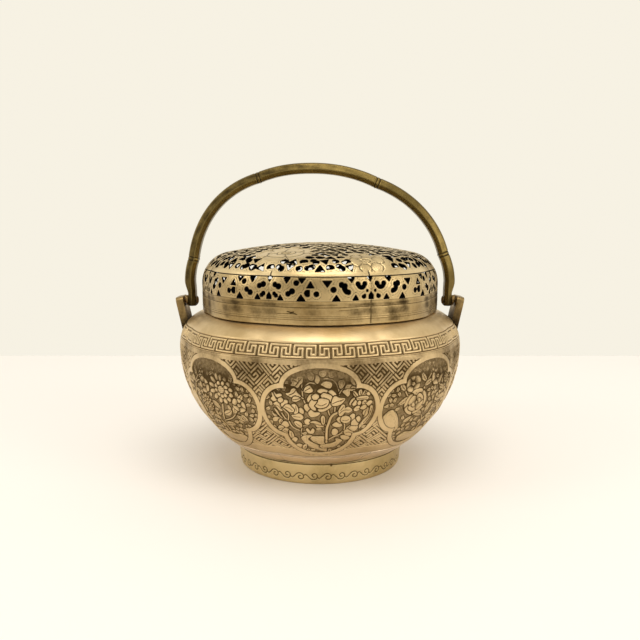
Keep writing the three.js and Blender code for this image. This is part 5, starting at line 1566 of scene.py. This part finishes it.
floor_paint = bpy.data.materials.new("pale_floor")
floor_paint.use_nodes = True
paint = floor_paint.node_tree.nodes["Principled BSDF"].inputs
paint["Base Color"].default_value = FLOOR_COLOUR
paint["Roughness"].default_value = 0.6
floor_form = bmesh.new()
bmesh.ops.create_grid(floor_form, x_segments=1, y_segments=1, size=FLOOR_HALF)
bmesh.ops.translate(floor_form, verts=floor_form.verts, vec=(0, FLOOR_FAR_EDGE - FLOOR_HALF, 0))
floor_mesh = mesh_of("floor", floor_form)
floor_mesh.materials.append(floor_paint)
floor = bpy.data.objects.new("floor", floor_mesh)
bpy.context.scene.collection.objects.link(floor)

world = bpy.data.worlds.new("pale_room")
world.use_nodes = True
bpy.context.scene.world = world
room = world.node_tree
for node in list(room.nodes):
    room.nodes.remove(node)
heading = add_node(room, "ShaderNodeTexCoord").outputs["Generated"]
parted = add_node(room, "ShaderNodeSeparateXYZ", {0: heading}).outputs


def room_light(axis, low, high, weak, strong, colour):
    """A background whose strength changes softly along one axis."""
    change = add_node(room, "ShaderNodeMapRange", {
        "Value": parted[axis], "From Min": low, "From Max": high, "To Min": weak, "To Max": strong,
    }, interpolation_type="SMOOTHSTEP")
    light = add_node(room, "ShaderNodeBackground", {"Color": colour, "Strength": change.outputs["Result"]})
    return light.outputs[0]


def either(first, second):
    return add_node(room, "ShaderNodeMath", {0: first, 1: second}, operation="MAXIMUM").outputs[0]


seen = room_light("Y", -0.9, 0.6, 0.72, 1, BACKGROUND)
lit = room_light("Z", -0.05, 0.75, 0.25, 0.8, ROOM_COLOUR)
path = add_node(room, "ShaderNodeLightPath").outputs
clear = either(either(path["Is Camera Ray"], path["Is Glossy Ray"]), path["Is Transmission Ray"])
choice = add_node(room, "ShaderNodeMixShader", {0: clear, 1: lit, 2: seen})
add_node(room, "ShaderNodeOutputWorld", {"Surface": choice.outputs[0]})


def soft_lamp(name, place, size, power, colour):
    light = bpy.data.lights.new(name, "AREA")
    light.shape = "RECTANGLE"
    light.size, light.size_y = size
    light.energy = power
    light.color = colour
    lamp = bpy.data.objects.new(name, light)
    lamp.location = place
    lamp.rotation_euler = (Vector(LAMP_AIM) - Vector(place)).to_track_quat("-Z", "Y").to_euler()
    bpy.context.scene.collection.objects.link(lamp)


soft_lamp("overhead_lamp", (0.05, -0.4, 1.3), (1.2, 0.7), 8.2, (1, 0.965, 0.91))
soft_lamp("left_lamp", (-1.2, -0.35, 0.75), (0.5, 0.6), 2.6, (1, 0.96, 0.9))
soft_lamp("right_lamp", (1.1, -0.6, 0.6), (0.5, 0.7), 3.2, (1, 0.95, 0.88))


# Camera, at the photograph's height and distance.

CAMERA_PLACE = (0, -0.350, 0.1225)
CAMERA_DOWN = 8.37
CAMERA_LENS = 39.4

view = bpy.data.cameras.new("camera")
view.lens = CAMERA_LENS
view.sensor_width = 36
view.clip_start = 0.01
camera = bpy.data.objects.new("camera", view)
camera.location = CAMERA_PLACE
camera.rotation_euler = (math.radians(90 - CAMERA_DOWN), 0, 0)
bpy.context.scene.collection.objects.link(camera)
bpy.context.scene.camera = camera
bpy.context.scene.view_settings.view_transform = "Standard"
